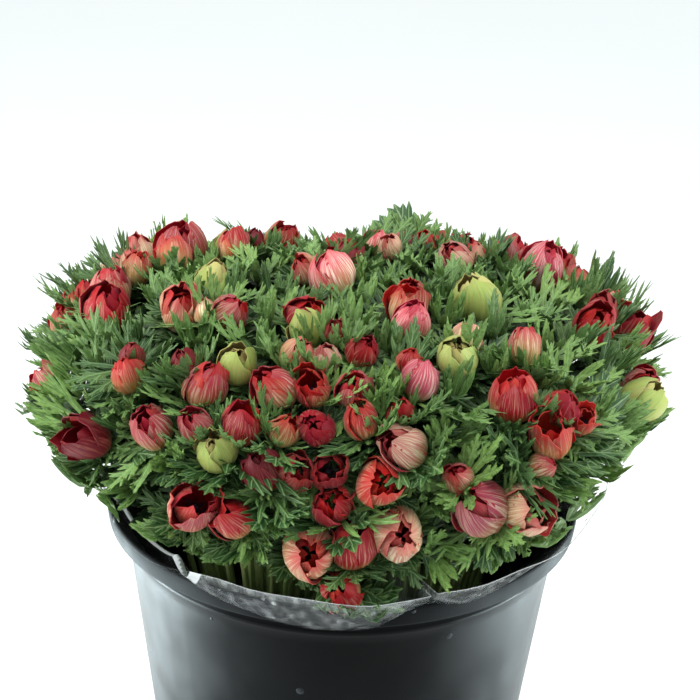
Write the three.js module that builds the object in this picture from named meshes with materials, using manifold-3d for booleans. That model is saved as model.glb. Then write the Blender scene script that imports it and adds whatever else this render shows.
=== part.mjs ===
// A florist's bucket of cut anemones: a hundred or so tight blooms on leafy stems, in two clear
// film sleeves that stand side by side in a round black bucket with some water in it.
// Units are millimetres, +Z is up, and the origin is the centre of the bucket's flat base.

import * as THREE from "three";
import { mergeVertices } from "three/addons/utils/BufferGeometryUtils.js";
import Module from "manifold-3d";

const wasm = await Module();
wasm.setup();

// Bucket
const BUCKET_HEIGHT = 320;
const BASE_RADIUS = 116;
const WALL_TAPER = 0.12;
const WALL = 2.4;
const FLOOR = 4;
const RIM_RADIUS = 165;
const RIM_DEPTH = 14;
const RIM_WALL = 3;
const BUCKET_SIDES = 30;

// Water
const WATER_LEVEL = 75;

// The domed head of flowers: a rounded box that the centres of the blooms lie on
const DOME_HALF_WIDTH = 204;
const DOME_HALF_DEPTH = 168;
const DOME_HEIGHT = 104;
const DOME_FOOT = 372;
const DOME_SQUARENESS = 2.8;
const VALLEY_X = -26;
const VALLEY_WIDTH = 20;
const VALLEY_DEPTH = 13;
const UPWARD_LEAN = 0.3;
const AXIS_JITTER = 0.34;

// Blooms
const BLOOM_SLENDERNESS = 2.35;
const PETALS = 4;
const SMALL_RADIUS = 11.5;
const PETAL_RIDGE = 1.08;
// Share of the bloom's height, and share of its radius there
const OUTLINE = [
  [0.2, 0.78],
  [0.52, 1],
];
const CONTACT_LAP = 2.5;
const LEAF_ROOM = 5;

// Leaf collars and stems
const LEAVES = 3;
const LOBES_PER_LEAF = 3;
const LOBE_LENGTH = 35;
const LEAF_REACH = 32;
const NEIGHBOURHOOD = 95;
const NOTCH_SHARE = 0.62;
const SMALLEST_DISH = 3.6;
const FLATTEST = 28;
const STEEPEST = 88;
const DISH_TOP = 1.5;
const BLADE = 1.2;
const STEM_RADIUS = 3.5;
const STEM_SIDES = 3;
const NECK_LENGTH = 60;
const NECK_SHARE = 0.74;
const NECK_REACH = 128;
const LOWEST_NECK = 336;
const NECK_MARGIN = 8;
const CELL_CLEARANCE = 0.8;

// The tight foot of each sleeve's stems
const BUNDLE_X = 58;
const BUNDLE_RADIUS = 27;
const BUNDLE_SPREAD = 41;
const BUNDLE_TOP = 195;
const BUNDLE_SIDES = 10;
const STEM_START = 172;
const START_SHARE = 0.34;
const START_REACH = 34;

// Film sleeves
const FILM = 0.9;
const SLEEVE_FOOT = 118;
const SLEEVE_FOOT_RADIUS = 33;
const SLEEVE_SIDES = 20;
const SLEEVE_WALL_POINTS = 4;
const MOUTH_RADIUS = 147.2;
const SLEEVE_GAP = 3;
const SLEEVE_TURN = THREE.MathUtils.degToRad(18);
const CLEARANCE = 0.4;

// How the camera of the photograph stood, and where the centre of the rim shows in it
const FOCAL_PIXELS = 1700;
const FRAME_CENTRE = 350;
const PITCH = THREE.MathUtils.degToRad(22.9);
const ROLL = THREE.MathUtils.degToRad(1.94);
const RIM_DISTANCE = 1200;
const RIM_PIXEL = [342.8, 484.8];

// The blooms that show, in clusters that touch each other: across and down in the pixels of the
// photograph, radius in millimetres, and openness from 0, a closed bud, to 1, an open cup.
const CLUSTERS_SHOWN = [
  [[113, 229, 14, 0.2], [86, 250, 10, 0], [68, 277, 8, 0]],
  [[164, 236, 17, 0.5], [168, 264, 13, 0.6]],
  [[120, 266, 11, 0], [142, 275, 11, 0.8]],
  [[112, 290, 14, 0.5], [102, 320, 16, 0.5]],
  [[56, 301, 9, 0], [76, 309, 11, 0.8], [57, 323, 11, 0.4]],
  [[215, 284, 14, 0.8]],
  [[172, 307, 15, 0.4], [207, 314, 8, 0], [239, 312, 12, 0.1]],
  [[207, 236, 11, 0.2], [236, 251, 12, 0.5]],
  [[49, 379, 10, 0.8]],
  [[127, 380, 11, 0.4], [135, 350, 8, 0]],
  [[185, 365, 9, 0], [212, 390, 14, 0.4], [231, 371, 12, 0.7]],
  [[150, 428, 13, 0.7]],
  [[87, 437, 14, 0.9]],
  [[206, 422, 10, 0.4], [226, 441, 12, 0.7], [246, 436, 12, 0.8]],
  [[187, 503, 15, 1], [240, 520, 13, 0.6]],
  [[278, 231, 13, 0.6], [250, 228, 8, 0]],
  [[303, 268, 10, 0], [331, 277, 16, 0.1]],
  [[336, 246, 11, 0.5], [348, 262, 12, 0.6]],
  [[303, 309, 11, 0.7], [309, 341, 12, 0.1], [332, 333, 9, 0]],
  [[296, 362, 11, 0.1], [322, 378, 9, 0]],
  [[283, 395, 13, 0.4], [319, 390, 11, 0.9]],
  [[350, 398, 11, 0.8], [343, 415, 11, 0.4]],
  [[297, 419, 10, 0.4], [316, 407, 11, 0.6]],
  [[361, 352, 10, 0.2]],
  [[412, 283, 10, 0.4], [400, 311, 12, 0.9], [414, 335, 12, 0.1]],
  [[409, 360, 8, 0], [428, 377, 12, 0.1]],
  [[452, 361, 13, 0], [463, 343, 10, 0.2]],
  [[392, 211, 8, 0], [390, 231, 9, 0], [401, 258, 9, 0]],
  [[425, 209, 10, 0.1], [446, 217, 9, 0.5]],
  [[421, 240, 11, 0.4], [445, 245, 10, 0.6]],
  [[491, 210, 12, 0.6], [490, 228, 9, 0]],
  [[453, 258, 12, 0.1], [470, 252, 9, 0.7]],
  [[499, 241, 12, 0.1], [516, 252, 14, 0.7]],
  [[575, 236, 16, 0.4], [556, 267, 14, 0.6], [589, 268, 10, 0.1]],
  [[478, 297, 16, 0.7]],
  [[601, 315, 12, 0.4], [586, 333, 14, 0.5]],
  [[645, 296, 11, 0.3], [652, 333, 17, 1]],
  [[665, 376, 13, 0.5], [641, 407, 14, 0.4]],
  [[523, 348, 11, 0.4]],
  [[515, 401, 14, 0.7]],
  [[581, 421, 8, 0.9], [561, 416, 11, 0.5], [552, 432, 13, 0.9], [543, 464, 8, 0]],
  [[388, 417, 8, 0.2], [402, 445, 14, 0.5], [371, 480, 14, 0.6]],
  [[272, 464, 12, 0.4], [290, 472, 11, 0.6], [321, 467, 11, 0.9], [324, 502, 12, 0.8]],
  [[302, 540, 17, 0.8], [358, 544, 14, 0.8], [406, 531, 16, 0.8]],
  [[453, 472, 9, 0.1], [480, 512, 17, 0.3], [532, 504, 15, 0.9]],
  [[341, 586, 10.5, 0.3]],
];

// The blooms behind the dome's crest: bearing from +X in degrees, height, radius and openness.
const CLUSTERS_BEHIND = [
  [[30, 395, 12, 0.3], [37, 425, 13, 0.6], [44, 395, 11, 0.1]],
  [[58, 388, 13, 0.5], [66, 400, 12, 0.2]],
  [[70, 446, 11, 0.2], [60, 440, 12, 0.5]],
  [[82, 385, 14, 0.7], [92, 380, 11, 0.1]],
  [[86, 440, 12, 0.4], [95, 452, 11, 0.6]],
  [[104, 415, 13, 0.3], [113, 400, 12, 0.5]],
  [[124, 380, 12, 0.1], [132, 400, 14, 0.5]],
  [[143, 425, 12, 0.4], [150, 400, 11, 0.6], [157, 390, 12, 0.2]],
];

const UP = new THREE.Vector3(0, 0, 1);

// A seeded draw from 0 to 1, the same on every run.
let seed = 4242;
function draw() {
  seed = (seed * 16807) % 2147483647;
  return seed / 2147483647;
}

// The camera's place and its three directions.
function photographCamera() {
  const ahead = new THREE.Vector3(0, Math.cos(PITCH), -Math.sin(PITCH));
  const level = new THREE.Vector3(1, 0, 0);
  const above = new THREE.Vector3(0, Math.sin(PITCH), Math.cos(PITCH));
  const right = level.clone().multiplyScalar(Math.cos(ROLL)).addScaledVector(above, Math.sin(ROLL));
  const up = above.clone().multiplyScalar(Math.cos(ROLL)).addScaledVector(level, -Math.sin(ROLL));
  const pixel = RIM_DISTANCE / FOCAL_PIXELS;
  const place = new THREE.Vector3(0, 0, BUCKET_HEIGHT)
    .addScaledVector(ahead, -RIM_DISTANCE)
    .addScaledVector(right, -(RIM_PIXEL[0] - FRAME_CENTRE) * pixel)
    .addScaledVector(up, -(FRAME_CENTRE - RIM_PIXEL[1]) * pixel);
  return { place, ahead, right, up };
}

// Less than 1 inside the dome, 1 on it and more outside. Below its foot the dome is a straight skirt.
function domeLevel(p) {
  const n = DOME_SQUARENESS;
  const rise = Math.max(p.z - DOME_FOOT, 0) / DOME_HEIGHT;
  return (Math.abs(p.x) / DOME_HALF_WIDTH) ** n + (Math.abs(p.y) / DOME_HALF_DEPTH) ** n + rise ** n;
}

// Moves a point in or out from the middle of the dome's foot until it lies on the dome.
function ontoDome(p) {
  const scale = domeLevel(p) ** (-1 / DOME_SQUARENESS);
  p.x *= scale;
  p.y *= scale;
  if (p.z > DOME_FOOT) p.z = DOME_FOOT + (p.z - DOME_FOOT) * scale;
  return p;
}

// The direction that a bloom at a point on the dome faces, before its own lean.
function domeNormal(p) {
  const n = DOME_SQUARENESS;
  const slope = (x, half) => Math.sign(x) * (Math.abs(x) / half) ** (n - 1) / half;
  return new THREE.Vector3(
    slope(p.x, DOME_HALF_WIDTH),
    slope(p.y, DOME_HALF_DEPTH),
    slope(Math.max(p.z - DOME_FOOT, 0), DOME_HEIGHT),
  ).normalize();
}

// Where the line of sight through a pixel first meets the dome, or passes nearest to it.
function fromPixel(camera, across, down) {
  const sight = camera.ahead
    .clone()
    .addScaledVector(camera.right, (across - FRAME_CENTRE) / FOCAL_PIXELS)
    .addScaledVector(camera.up, (FRAME_CENTRE - down) / FOCAL_PIXELS);
  const nearest = RIM_DISTANCE - 400;
  const farthest = RIM_DISTANCE + 300;
  let best = null;
  let bestLevel = Infinity;
  for (let reach = nearest; reach <= farthest; reach += 0.5) {
    const p = camera.place.clone().addScaledVector(sight, reach);
    const level = domeLevel(p);
    if (level < bestLevel) {
      best = p;
      bestLevel = level;
    }
    if (level <= 1) break;
  }
  return ontoDome(best);
}

// Every bloom with its cluster and its first place on the dome.
function bloomsInPlace() {
  const camera = photographCamera();
  const shown = CLUSTERS_SHOWN.flatMap((cluster, node) =>
    cluster.map(([across, down, radius, open]) => ({
      node,
      radius,
      open,
      centre: fromPixel(camera, across, down),
    })),
  );
  const behind = CLUSTERS_BEHIND.flatMap((cluster, k) =>
    cluster.map(([bearing, height, radius, open]) => {
      const turn = THREE.MathUtils.degToRad(bearing);
      const centre = new THREE.Vector3(
        DOME_HALF_WIDTH * Math.cos(turn),
        DOME_HALF_DEPTH * Math.sin(turn),
        height,
      );
      return { node: CLUSTERS_SHOWN.length + k, radius, open, centre: ontoDome(centre) };
    }),
  );
  const blooms = [...shown, ...behind];
  blooms.forEach((bloom) => (bloom.home = bloom.centre.clone()));
  return blooms;
}

// Pushes blooms apart until leaves fit between them, and draws the neighbours of a cluster together.
function settle(blooms) {
  const ROUNDS = 220;
  const HOMING_ROUNDS = 140;
  const HOMING = 0.04;
  for (let round = 0; round < ROUNDS; round++) {
    const moves = blooms.map(() => new THREE.Vector3());
    blooms.forEach((a, i) => {
      for (let j = i + 1; j < blooms.length; j++) {
        const b = blooms[j];
        const apart = b.centre.clone().sub(a.centre);
        const distance = apart.length();
        const linked = a.node === b.node && j === i + 1;
        const touching = a.radius + b.radius - CONTACT_LAP;
        const wanted = linked ? touching : a.radius + b.radius + LEAF_ROOM;
        if (!linked && distance >= wanted) continue;
        apart.multiplyScalar((0.22 * (distance - wanted)) / distance);
        moves[i].add(apart);
        moves[j].sub(apart);
      }
    });
    blooms.forEach((bloom, i) => {
      bloom.centre.add(moves[i]);
      if (round < HOMING_ROUNDS) bloom.centre.lerp(bloom.home, HOMING);
      ontoDome(bloom.centre);
    });
  }
}

// Gives each bloom its axis, its height and the frame that its petals and leaves are laid out in.
function aim(blooms) {
  for (const bloom of blooms) {
    const lean = new THREE.Vector3(draw() - 0.5, draw() - 0.5, draw() - 0.5);
    bloom.axis = domeNormal(bloom.centre).addScaledVector(UP, UPWARD_LEAN);
    bloom.axis.addScaledVector(lean, 2 * AXIS_JITTER).normalize();
    bloom.height = bloom.radius * BLOOM_SLENDERNESS;
    const valley = Math.exp(-(((bloom.centre.x - VALLEY_X) / VALLEY_WIDTH) ** 2));
    const towardsBack = THREE.MathUtils.clamp(bloom.centre.y / DOME_HALF_DEPTH, 0, 1);
    bloom.centre.z -= VALLEY_DEPTH * valley * towardsBack;
    bloom.side = new THREE.Vector3(0, 1, 0).cross(bloom.axis).normalize();
    bloom.front = bloom.axis.clone().cross(bloom.side);
    bloom.turn = draw() * 2 * Math.PI;
    bloom.sleeve = bloom.centre.clone().applyAxisAngle(UP, -SLEEVE_TURN).x < 0 ? -1 : 1;
    bloom.foot = bloom.centre.clone().addScaledVector(bloom.axis, -bloom.height / 2);
  }
}

// A point given by bearing, distance from the bloom's axis and height above its foot.
function around(bloom, bearing, out, up) {
  return bloom.foot
    .clone()
    .addScaledVector(bloom.side, Math.cos(bearing) * out)
    .addScaledVector(bloom.front, Math.sin(bearing) * out)
    .addScaledVector(bloom.axis, up);
}

// Collects corners and triangles, and closes them into a solid.
class Shell {
  constructor() {
    this.points = [];
    this.faces = [];
  }
  point(p) {
    this.points.push(p.x, p.y, p.z);
    return this.points.length / 3 - 1;
  }
  ring(points) {
    return points.map((p) => this.point(p));
  }
  // Joins two rings of the same count, the first one below when seen from outside.
  band(low, high) {
    low.forEach((a, k) => {
      const next = (k + 1) % low.length;
      this.faces.push(a, low[next], high[k], low[next], high[next], high[k]);
    });
  }
  // The same triangles as a band's, facing inwards.
  lining(low, high) {
    low.forEach((a, k) => {
      const next = (k + 1) % low.length;
      this.faces.push(a, high[k], low[next], low[next], high[k], high[next]);
    });
  }
  fan(hub, ring, facingUp) {
    ring.forEach((a, k) => {
      const b = ring[(k + 1) % ring.length];
      this.faces.push(...(facingUp ? [hub, a, b] : [hub, b, a]));
    });
  }
  geometry() {
    const made = new THREE.BufferGeometry();
    made.setAttribute("position", new THREE.Float32BufferAttribute(this.points, 3));
    made.setIndex(this.faces);
    return made;
  }
}

// A closed geometry as a solid that can be joined and cut.
function solidOf(geometry) {
  const bare = geometry.clone();
  bare.deleteAttribute("normal");
  bare.deleteAttribute("uv");
  const merged = mergeVertices(bare, 1e-4);
  return new wasm.Manifold(
    new wasm.Mesh({
      numProp: 3,
      vertProperties: merged.attributes.position.array,
      triVerts: new Uint32Array(merged.index.array),
    }),
  );
}

function geometryOf(solid) {
  const { vertProperties, triVerts } = solid.getMesh();
  const made = new THREE.BufferGeometry();
  made.setAttribute("position", new THREE.BufferAttribute(vertProperties, 3));
  made.setIndex(new THREE.BufferAttribute(triVerts, 1));
  made.computeVertexNormals();
  return made;
}

// A bloom as petals wrapped round a sunken heart: each petal is a ridge that ends in a point.
function bloomSolid(bloom) {
  const shell = new Shell();
  const columns = 2 * (bloom.radius < SMALL_RADIUS ? PETALS - 1 : PETALS);
  const lip = 0.42 + 0.3 * bloom.open;
  const ringAt = (share, width, ridge, notch) =>
    shell.ring(
      Array.from({ length: columns }, (_, k) => {
        const onPetal = k % 2 === 0;
        const bearing = bloom.turn + (k / columns) * 2 * Math.PI;
        const out = bloom.radius * width * (onPetal ? ridge : 1);
        return around(bloom, bearing, out, bloom.height * (share - (onPetal ? 0 : notch)));
      }),
    );
  const foot = shell.point(around(bloom, 0, 0, 0));
  const [low, belly] = OUTLINE.map(([share, width]) => ringAt(share, width, PETAL_RIDGE, 0));
  const tips = ringAt(1, lip, PETAL_RIDGE, 0.13);
  const heart = shell.point(around(bloom, 0, 0, bloom.height * (0.84 - 0.3 * bloom.open)));
  shell.fan(foot, low, false);
  shell.band(low, belly);
  shell.band(belly, tips);
  shell.fan(heart, tips, true);
  return solidOf(shell.geometry());
}

// The radius that a bloom takes up at a height above its foot.
function bloomReach(bloom, up) {
  const profile = [[0, 0], ...OUTLINE, [1, 0.75]];
  const share = up / bloom.height;
  if (share < 0 || share > 1) return 0;
  const k = profile.findIndex(([level]) => level >= share);
  if (k === 0) return 0;
  const [low, lowWidth] = profile[k - 1];
  const [high, highWidth] = profile[k];
  const width = lowWidth + ((highWidth - lowWidth) * (share - low)) / (high - low);
  return PETAL_RIDGE * width * bloom.radius;
}

function insideBloom(p, bloom, margin) {
  const from = p.clone().sub(bloom.foot);
  const up = from.dot(bloom.axis);
  if (up < -margin || up > bloom.height + margin) return false;
  const out = Math.sqrt(Math.max(from.lengthSq() - up * up, 0));
  return out < bloomReach(bloom, THREE.MathUtils.clamp(up, 0, bloom.height)) + margin;
}

// True where a point is above the mouth of the bucket, or above the film that leans out over its rim.
function clearOfFilm(p) {
  const out = Math.hypot(p.x, p.y);
  return out < MOUTH_RADIUS - 9 || p.z > sleeveEdge(Math.atan2(p.y, p.x)).height + 2;
}

// True where a leaf's corner keeps to its own flower's share of the head.
function leafFits(p, bloom, neighbours) {
  if (!clearOfFilm(p)) return false;
  for (const other of neighbours) {
    const apart = other.centre.clone().sub(bloom.centre);
    const share = apart.length() / 2 + (bloom.radius - other.radius) / 2;
    if (p.clone().sub(bloom.centre).dot(apart.normalize()) > share - CELL_CLEARANCE) return false;
    if (insideBloom(p, other, BLADE + CELL_CLEARANCE)) return false;
  }
  return true;
}

// A lobe's tip: as far out from the stem as its neighbours let it spread, and shorter where they crowd it.
function lobeTip(bloom, neighbours, bearing, ringOut, length, notches) {
  const root = around(bloom, bearing, ringOut, 1);
  for (let share = 1; share > 0.25; share -= 0.15) {
    for (let lift = FLATTEST; lift <= STEEPEST; lift += 6) {
      const slope = THREE.MathUtils.degToRad(lift);
      const reach = share * length;
      const tip = around(bloom, bearing, ringOut + reach * Math.cos(slope), 1 + reach * Math.sin(slope));
      const clear = [root, ...notches].every((from) =>
        [0.2, 0.4, 0.6, 0.8, 1].every((part) => {
          const p = from.clone().lerp(tip, part);
          return leafFits(p, bloom, neighbours) && !insideBloom(p, bloom, CELL_CLEARANCE);
        }),
      );
      if (clear) return tip;
    }
  }
  return around(bloom, bearing, ringOut + 0.6, 0.9);
}

// How far from the stem the cut between two lobes lies: just past the bloom, or further with more room.
function notchDistance(bloom, neighbours, bearing) {
  let room = LEAF_REACH;
  while (room > SMALLEST_DISH && !leafFits(around(bloom, bearing, room, DISH_TOP), bloom, neighbours)) {
    room -= 1;
  }
  const underBloom = bloom.radius * PETAL_RIDGE + 1;
  const dish = Math.min(NOTCH_SHARE * room, bloom.radius * 1.25 + 4);
  return Math.min(room, Math.max(underBloom, dish));
}

// A leaf collar in one piece with its stem: a shallow dish under the bloom, cut into pointed lobes.
function leafyStem(bloom, blooms) {
  const shell = new Shell();
  const lobesPerLeaf = bloom.radius < SMALL_RADIUS ? LOBES_PER_LEAF - 1 : LOBES_PER_LEAF;
  const lobes = LEAVES * lobesPerLeaf;
  const neighbours = blooms.filter((b) => b !== bloom && b.centre.distanceTo(bloom.centre) < NEIGHBOURHOOD);
  const notchBearings = Array.from({ length: lobes }, (_, k) => bloom.turn + (k / lobes) * 2 * Math.PI);
  const notchOuts = notchBearings.map((bearing) => notchDistance(bloom, neighbours, bearing));
  const notches = notchBearings.map((b, k) => around(bloom, b, notchOuts[k], DISH_TOP));
  const undersides = notchBearings.map((b, k) => around(bloom, b, notchOuts[k], DISH_TOP - BLADE));
  const upper = shell.ring(notches);
  const lower = shell.ring(undersides);
  shell.fan(shell.point(around(bloom, 0, 0, -BLADE / 2)), upper, true);
  for (let k = 0; k < lobes; k++) {
    const next = (k + 1) % lobes;
    const middle = (k + 0.5) / lobes;
    const bearing = bloom.turn + middle * 2 * Math.PI + (draw() - 0.5) * 0.3;
    const isMiddleLobe = k % lobesPerLeaf === 1;
    const length = LOBE_LENGTH * (isMiddleLobe ? 1.12 : 0.88) * (0.85 + 0.3 * draw());
    const ringOut = Math.min(notchOuts[k], notchOuts[next]);
    const tip = lobeTip(bloom, neighbours, bearing, ringOut, length, [notches[k], notches[next]]);
    const t = shell.point(tip);
    shell.faces.push(upper[k], t, upper[next], lower[k], lower[next], t);
    shell.faces.push(upper[k], lower[k], t, upper[next], t, lower[next]);
  }
  stemUnder(shell, bloom, lower, notchBearings);
  return solidOf(shell.geometry());
}

// The stem's line: from under the collar in over the rim, then down into the bundle. Each level is the
// one above drawn in by a fixed share, so that the stems don't cross.
function stemLine(bloom) {
  const side = bloom.sleeve;
  const top = around(bloom, 0, 0, -4);
  const foot = bloom.foot.clone().applyAxisAngle(UP, -SLEEVE_TURN);
  const neck = foot.clone().setZ(0).multiplyScalar(NECK_SHARE).clampLength(0, NECK_REACH);
  neck.x = side * Math.max(side * neck.x, NECK_MARGIN);
  neck.z = Math.max(foot.z - NECK_LENGTH, LOWEST_NECK);
  const start = new THREE.Vector3(foot.x - side * DOME_HALF_WIDTH * 0.5, foot.y * 0.65, 0);
  start.multiplyScalar(START_SHARE).clampLength(0, START_REACH);
  start.set(side * BUNDLE_X + start.x, start.y, STEM_START);
  return [top, neck.applyAxisAngle(UP, SLEEVE_TURN), start.applyAxisAngle(UP, SLEEVE_TURN)];
}

// The stem, from the underside of the dish to its end inside the bundle.
function stemUnder(shell, bloom, dish, dishBearings) {
  const line = stemLine(bloom);
  let inner = null;
  line.forEach((p, k) => {
    const before = line[Math.max(k - 1, 0)];
    const after = line[Math.min(k + 1, line.length - 1)];
    const ahead = k === 0 ? bloom.axis.clone().negate() : after.clone().sub(before).normalize();
    const side = bloom.side.clone().addScaledVector(ahead, -bloom.side.dot(ahead)).normalize();
    const front = side.clone().cross(ahead);
    const ring = shell.ring(
      Array.from({ length: STEM_SIDES }, (_, s) => {
        const bearing = bloom.turn + (s / STEM_SIDES) * 2 * Math.PI;
        return p
          .clone()
          .addScaledVector(side, Math.cos(bearing) * STEM_RADIUS)
          .addScaledVector(front, Math.sin(bearing) * STEM_RADIUS);
      }),
    );
    if (inner) shell.band(ring, inner);
    else joinRings(shell, dish, dishBearings, ring, bloom.turn);
    inner = ring;
  });
  for (let s = 1; s < STEM_SIDES - 1; s++) shell.faces.push(inner[0], inner[s + 1], inner[s]);
}

// Closes the dish's underside between its rim and the top of the stem, which have different counts.
function joinRings(shell, dish, dishBearings, stem, turn) {
  const stemBearings = stem.map((_, s) => turn + (s / stem.length) * 2 * Math.PI);
  let d = 0;
  let s = 0;
  while (d < dish.length || s < stem.length) {
    const nextDish = d < dish.length ? dishBearings[0] + ((d + 1) / dish.length) * 2 * Math.PI : Infinity;
    const nextStem = s < stem.length ? stemBearings[0] + ((s + 1) / stem.length) * 2 * Math.PI : Infinity;
    const onDish = dish[d % dish.length];
    const onStem = stem[s % stem.length];
    if (nextDish <= nextStem) {
      shell.faces.push(onStem, dish[(d + 1) % dish.length], onDish);
      d += 1;
    } else {
      shell.faces.push(onDish, onStem, stem[(s + 1) % stem.length]);
      s += 1;
    }
  }
}

// A turned solid from its outline, given from the axis outwards and back, with Z up.
function turned(outline, sides) {
  const points = outline.map(([out, up]) => new THREE.Vector2(out, up));
  return new THREE.LatheGeometry(points, sides).rotateX(Math.PI / 2);
}

// The packed foot of one sleeve's stems, which stands on the bucket's floor.
function bundleSolid(side) {
  const foot = FLOOR + CLEARANCE;
  const outline = [
    [0, foot],
    [BUNDLE_RADIUS, foot],
    [BUNDLE_RADIUS, SLEEVE_FOOT - 8],
    [BUNDLE_SPREAD, BUNDLE_TOP],
    [0, BUNDLE_TOP],
  ];
  return solidOf(turned(outline, BUNDLE_SIDES).translate(side * BUNDLE_X, 0, 0).rotateZ(SLEEVE_TURN));
}

// The bucket: a tapered wall with a flat floor and a rim band that stands proud of it.
function bucketGeometry() {
  const shoulder = BUCKET_HEIGHT - RIM_DEPTH;
  const outerAt = (z) => BASE_RADIUS + WALL_TAPER * z;
  const innerAt = (z) => outerAt(z) - WALL;
  return turned(
    [
      [0, 0],
      [BASE_RADIUS - 2, 0],
      [outerAt(3), 3],
      [outerAt(shoulder - 3), shoulder - 3],
      [RIM_RADIUS - 1, shoulder],
      [RIM_RADIUS, BUCKET_HEIGHT - 3],
      [RIM_RADIUS - RIM_WALL, BUCKET_HEIGHT],
      [RIM_RADIUS - RIM_WALL - 1, shoulder + 3],
      [innerAt(shoulder), shoulder],
      [innerAt(FLOOR), FLOOR],
      [0, FLOOR],
    ],
    BUCKET_SIDES,
  );
}

// The water: it fills the bucket to its level, with a hole for the foot of each bundle.
function waterGeometry() {
  const low = FLOOR + CLEARANCE;
  const innerAt = (z) => BASE_RADIUS + WALL_TAPER * z - WALL - CLEARANCE;
  const outline = [
    [0, low],
    [innerAt(low), low],
    [innerAt(WATER_LEVEL), WATER_LEVEL],
    [0, WATER_LEVEL],
  ];
  const holeRadius = BUNDLE_RADIUS + CLEARANCE;
  const hole = [
    [0, 0],
    [holeRadius, 0],
    [holeRadius, WATER_LEVEL + 5],
    [0, WATER_LEVEL + 5],
  ];
  let water = solidOf(turned(outline, BUCKET_SIDES));
  for (const side of [-1, 1]) {
    const drill = turned(hole, BUNDLE_SIDES).translate(side * BUNDLE_X, 0, 0).rotateZ(SLEEVE_TURN);
    water = water.subtract(solidOf(drill));
  }
  return geometryOf(water);
}

// The film's free edge at a bearing round the bucket. In front it sags over the rim into a pouch.
function sleeveEdge(bearing) {
  const inFront = Math.max(-Math.sin(bearing), 0) ** 6;
  return { inFront, out: 178 + 12 * inFront, height: 334 + 6 * inFront, sag: 21 * inFront };
}

// One level of a sleeve: a closed loop of points that goes from a circle round the stems' foot, at a
// spread of 0, to half of the bucket's mouth, at 1. The last few points lie along the straight wall
// that faces the other sleeve.
function sleeveLoop(side, level) {
  const arcCount = SLEEVE_SIDES - SLEEVE_WALL_POINTS;
  const halfGap = SLEEVE_GAP / 2;
  const radius = level.radius;
  const corner = Math.acos(halfGap / radius);
  const loop = [];
  for (let k = 0; k < SLEEVE_SIDES; k++) {
    const turn = THREE.MathUtils.lerp(-corner, corner, k / (arcCount - 1));
    const across = 1 - (2 * (k - arcCount + 1)) / (SLEEVE_WALL_POINTS + 1);
    const mouth =
      k < arcCount
        ? [radius * Math.cos(turn), radius * Math.sin(turn)]
        : [halfGap, across * radius * Math.sin(corner)];
    const round = -Math.PI * 0.7 + (k / SLEEVE_SIDES) * 2 * Math.PI;
    const footX = BUNDLE_X + SLEEVE_FOOT_RADIUS * Math.cos(round);
    const x = THREE.MathUtils.lerp(footX, mouth[0], level.spread);
    const y = THREE.MathUtils.lerp(SLEEVE_FOOT_RADIUS * Math.sin(round), mouth[1], level.spread);
    loop.push(new THREE.Vector3(side * x, side * y, level.z));
  }
  return loop;
}

// One sleeve: a thin cone of film, round at the foot and half-round in the bucket's mouth, whose free
// edge leans out over the rim.
function sleeveSolid(side) {
  const shell = new Shell();
  const levels = [
    { z: SLEEVE_FOOT, radius: MOUTH_RADIUS, spread: 0 },
    { z: BUNDLE_TOP, radius: MOUTH_RADIUS, spread: 0.6 },
    { z: BUCKET_HEIGHT - RIM_DEPTH, radius: MOUTH_RADIUS, spread: 1 },
    { z: BUCKET_HEIGHT + 0.8, radius: RIM_RADIUS - RIM_WALL - 1.1, spread: 1 },
  ];
  const loops = levels.map((level) => sleeveLoop(side, level));
  // The film lies on the rim, and rides a little higher where its pouch hangs over it.
  loops.at(-1).forEach((p) => (p.z += 2.2 * sleeveEdge(Math.atan2(p.y, p.x) + SLEEVE_TURN).inFront));
  const lastOnArc = SLEEVE_SIDES - SLEEVE_WALL_POINTS - 1;
  const lift = (share) =>
    loops.at(-1).map((p, k) => {
      if (k > lastOnArc) return p.clone().setZ(p.z + 8 * share);
      const atCorner = k === 0 || k === lastOnArc;
      const bearing = Math.atan2(p.y, p.x);
      const edge = sleeveEdge(bearing + SLEEVE_TURN);
      const sag = edge.sag * (atCorner ? 0.35 : 1);
      const from = Math.hypot(p.x, p.y);
      const out = from + (edge.out - from) * share;
      const z = p.z + (edge.height - p.z) * share - sag * 4 * share * (1 - share);
      const x = atCorner ? p.x : out * Math.cos(bearing);
      return new THREE.Vector3(x, out * Math.sin(bearing), z);
    });
  const outerPoints = [...loops, lift(0.55), lift(1)];
  const outer = outerPoints.map((loop) => shell.ring(loop));
  outer.slice(1).forEach((loop, k) => shell.band(outer[k], loop));
  const skin = shell.geometry();
  skin.computeVertexNormals();
  const inner = outerPoints.map((loop, level) =>
    shell.ring(
      loop.map((p, k) => {
        const facing = new THREE.Vector3().fromBufferAttribute(skin.attributes.normal, outer[level][k]);
        return p.clone().addScaledVector(facing, -FILM);
      }),
    ),
  );
  inner.slice(1).forEach((loop, k) => shell.lining(inner[k], loop));
  shell.band(inner[0], outer[0]);
  shell.band(outer.at(-1), inner.at(-1));
  return solidOf(shell.geometry().rotateZ(SLEEVE_TURN));
}

const materials = {
  bucket: new THREE.MeshStandardMaterial({ color: 0x1d2124, roughness: 0.42, metalness: 0 }),
  water: new THREE.MeshStandardMaterial({ color: 0xa9c4bd, roughness: 0.05, metalness: 0 }),
  film: new THREE.MeshStandardMaterial({ color: 0xdfe8e6, roughness: 0.12, metalness: 0 }),
  leaf: new THREE.MeshStandardMaterial({ color: 0x3f7434, roughness: 0.6, metalness: 0 }),
  petal: new THREE.MeshStandardMaterial({ color: 0xb03038, roughness: 0.65, metalness: 0 }),
};

function named(name, geometry, material) {
  const mesh = new THREE.Mesh(geometry, material);
  mesh.name = name;
  return mesh;
}

const anemones = new THREE.Group();
const blooms = bloomsInPlace();
settle(blooms);
aim(blooms);

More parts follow.
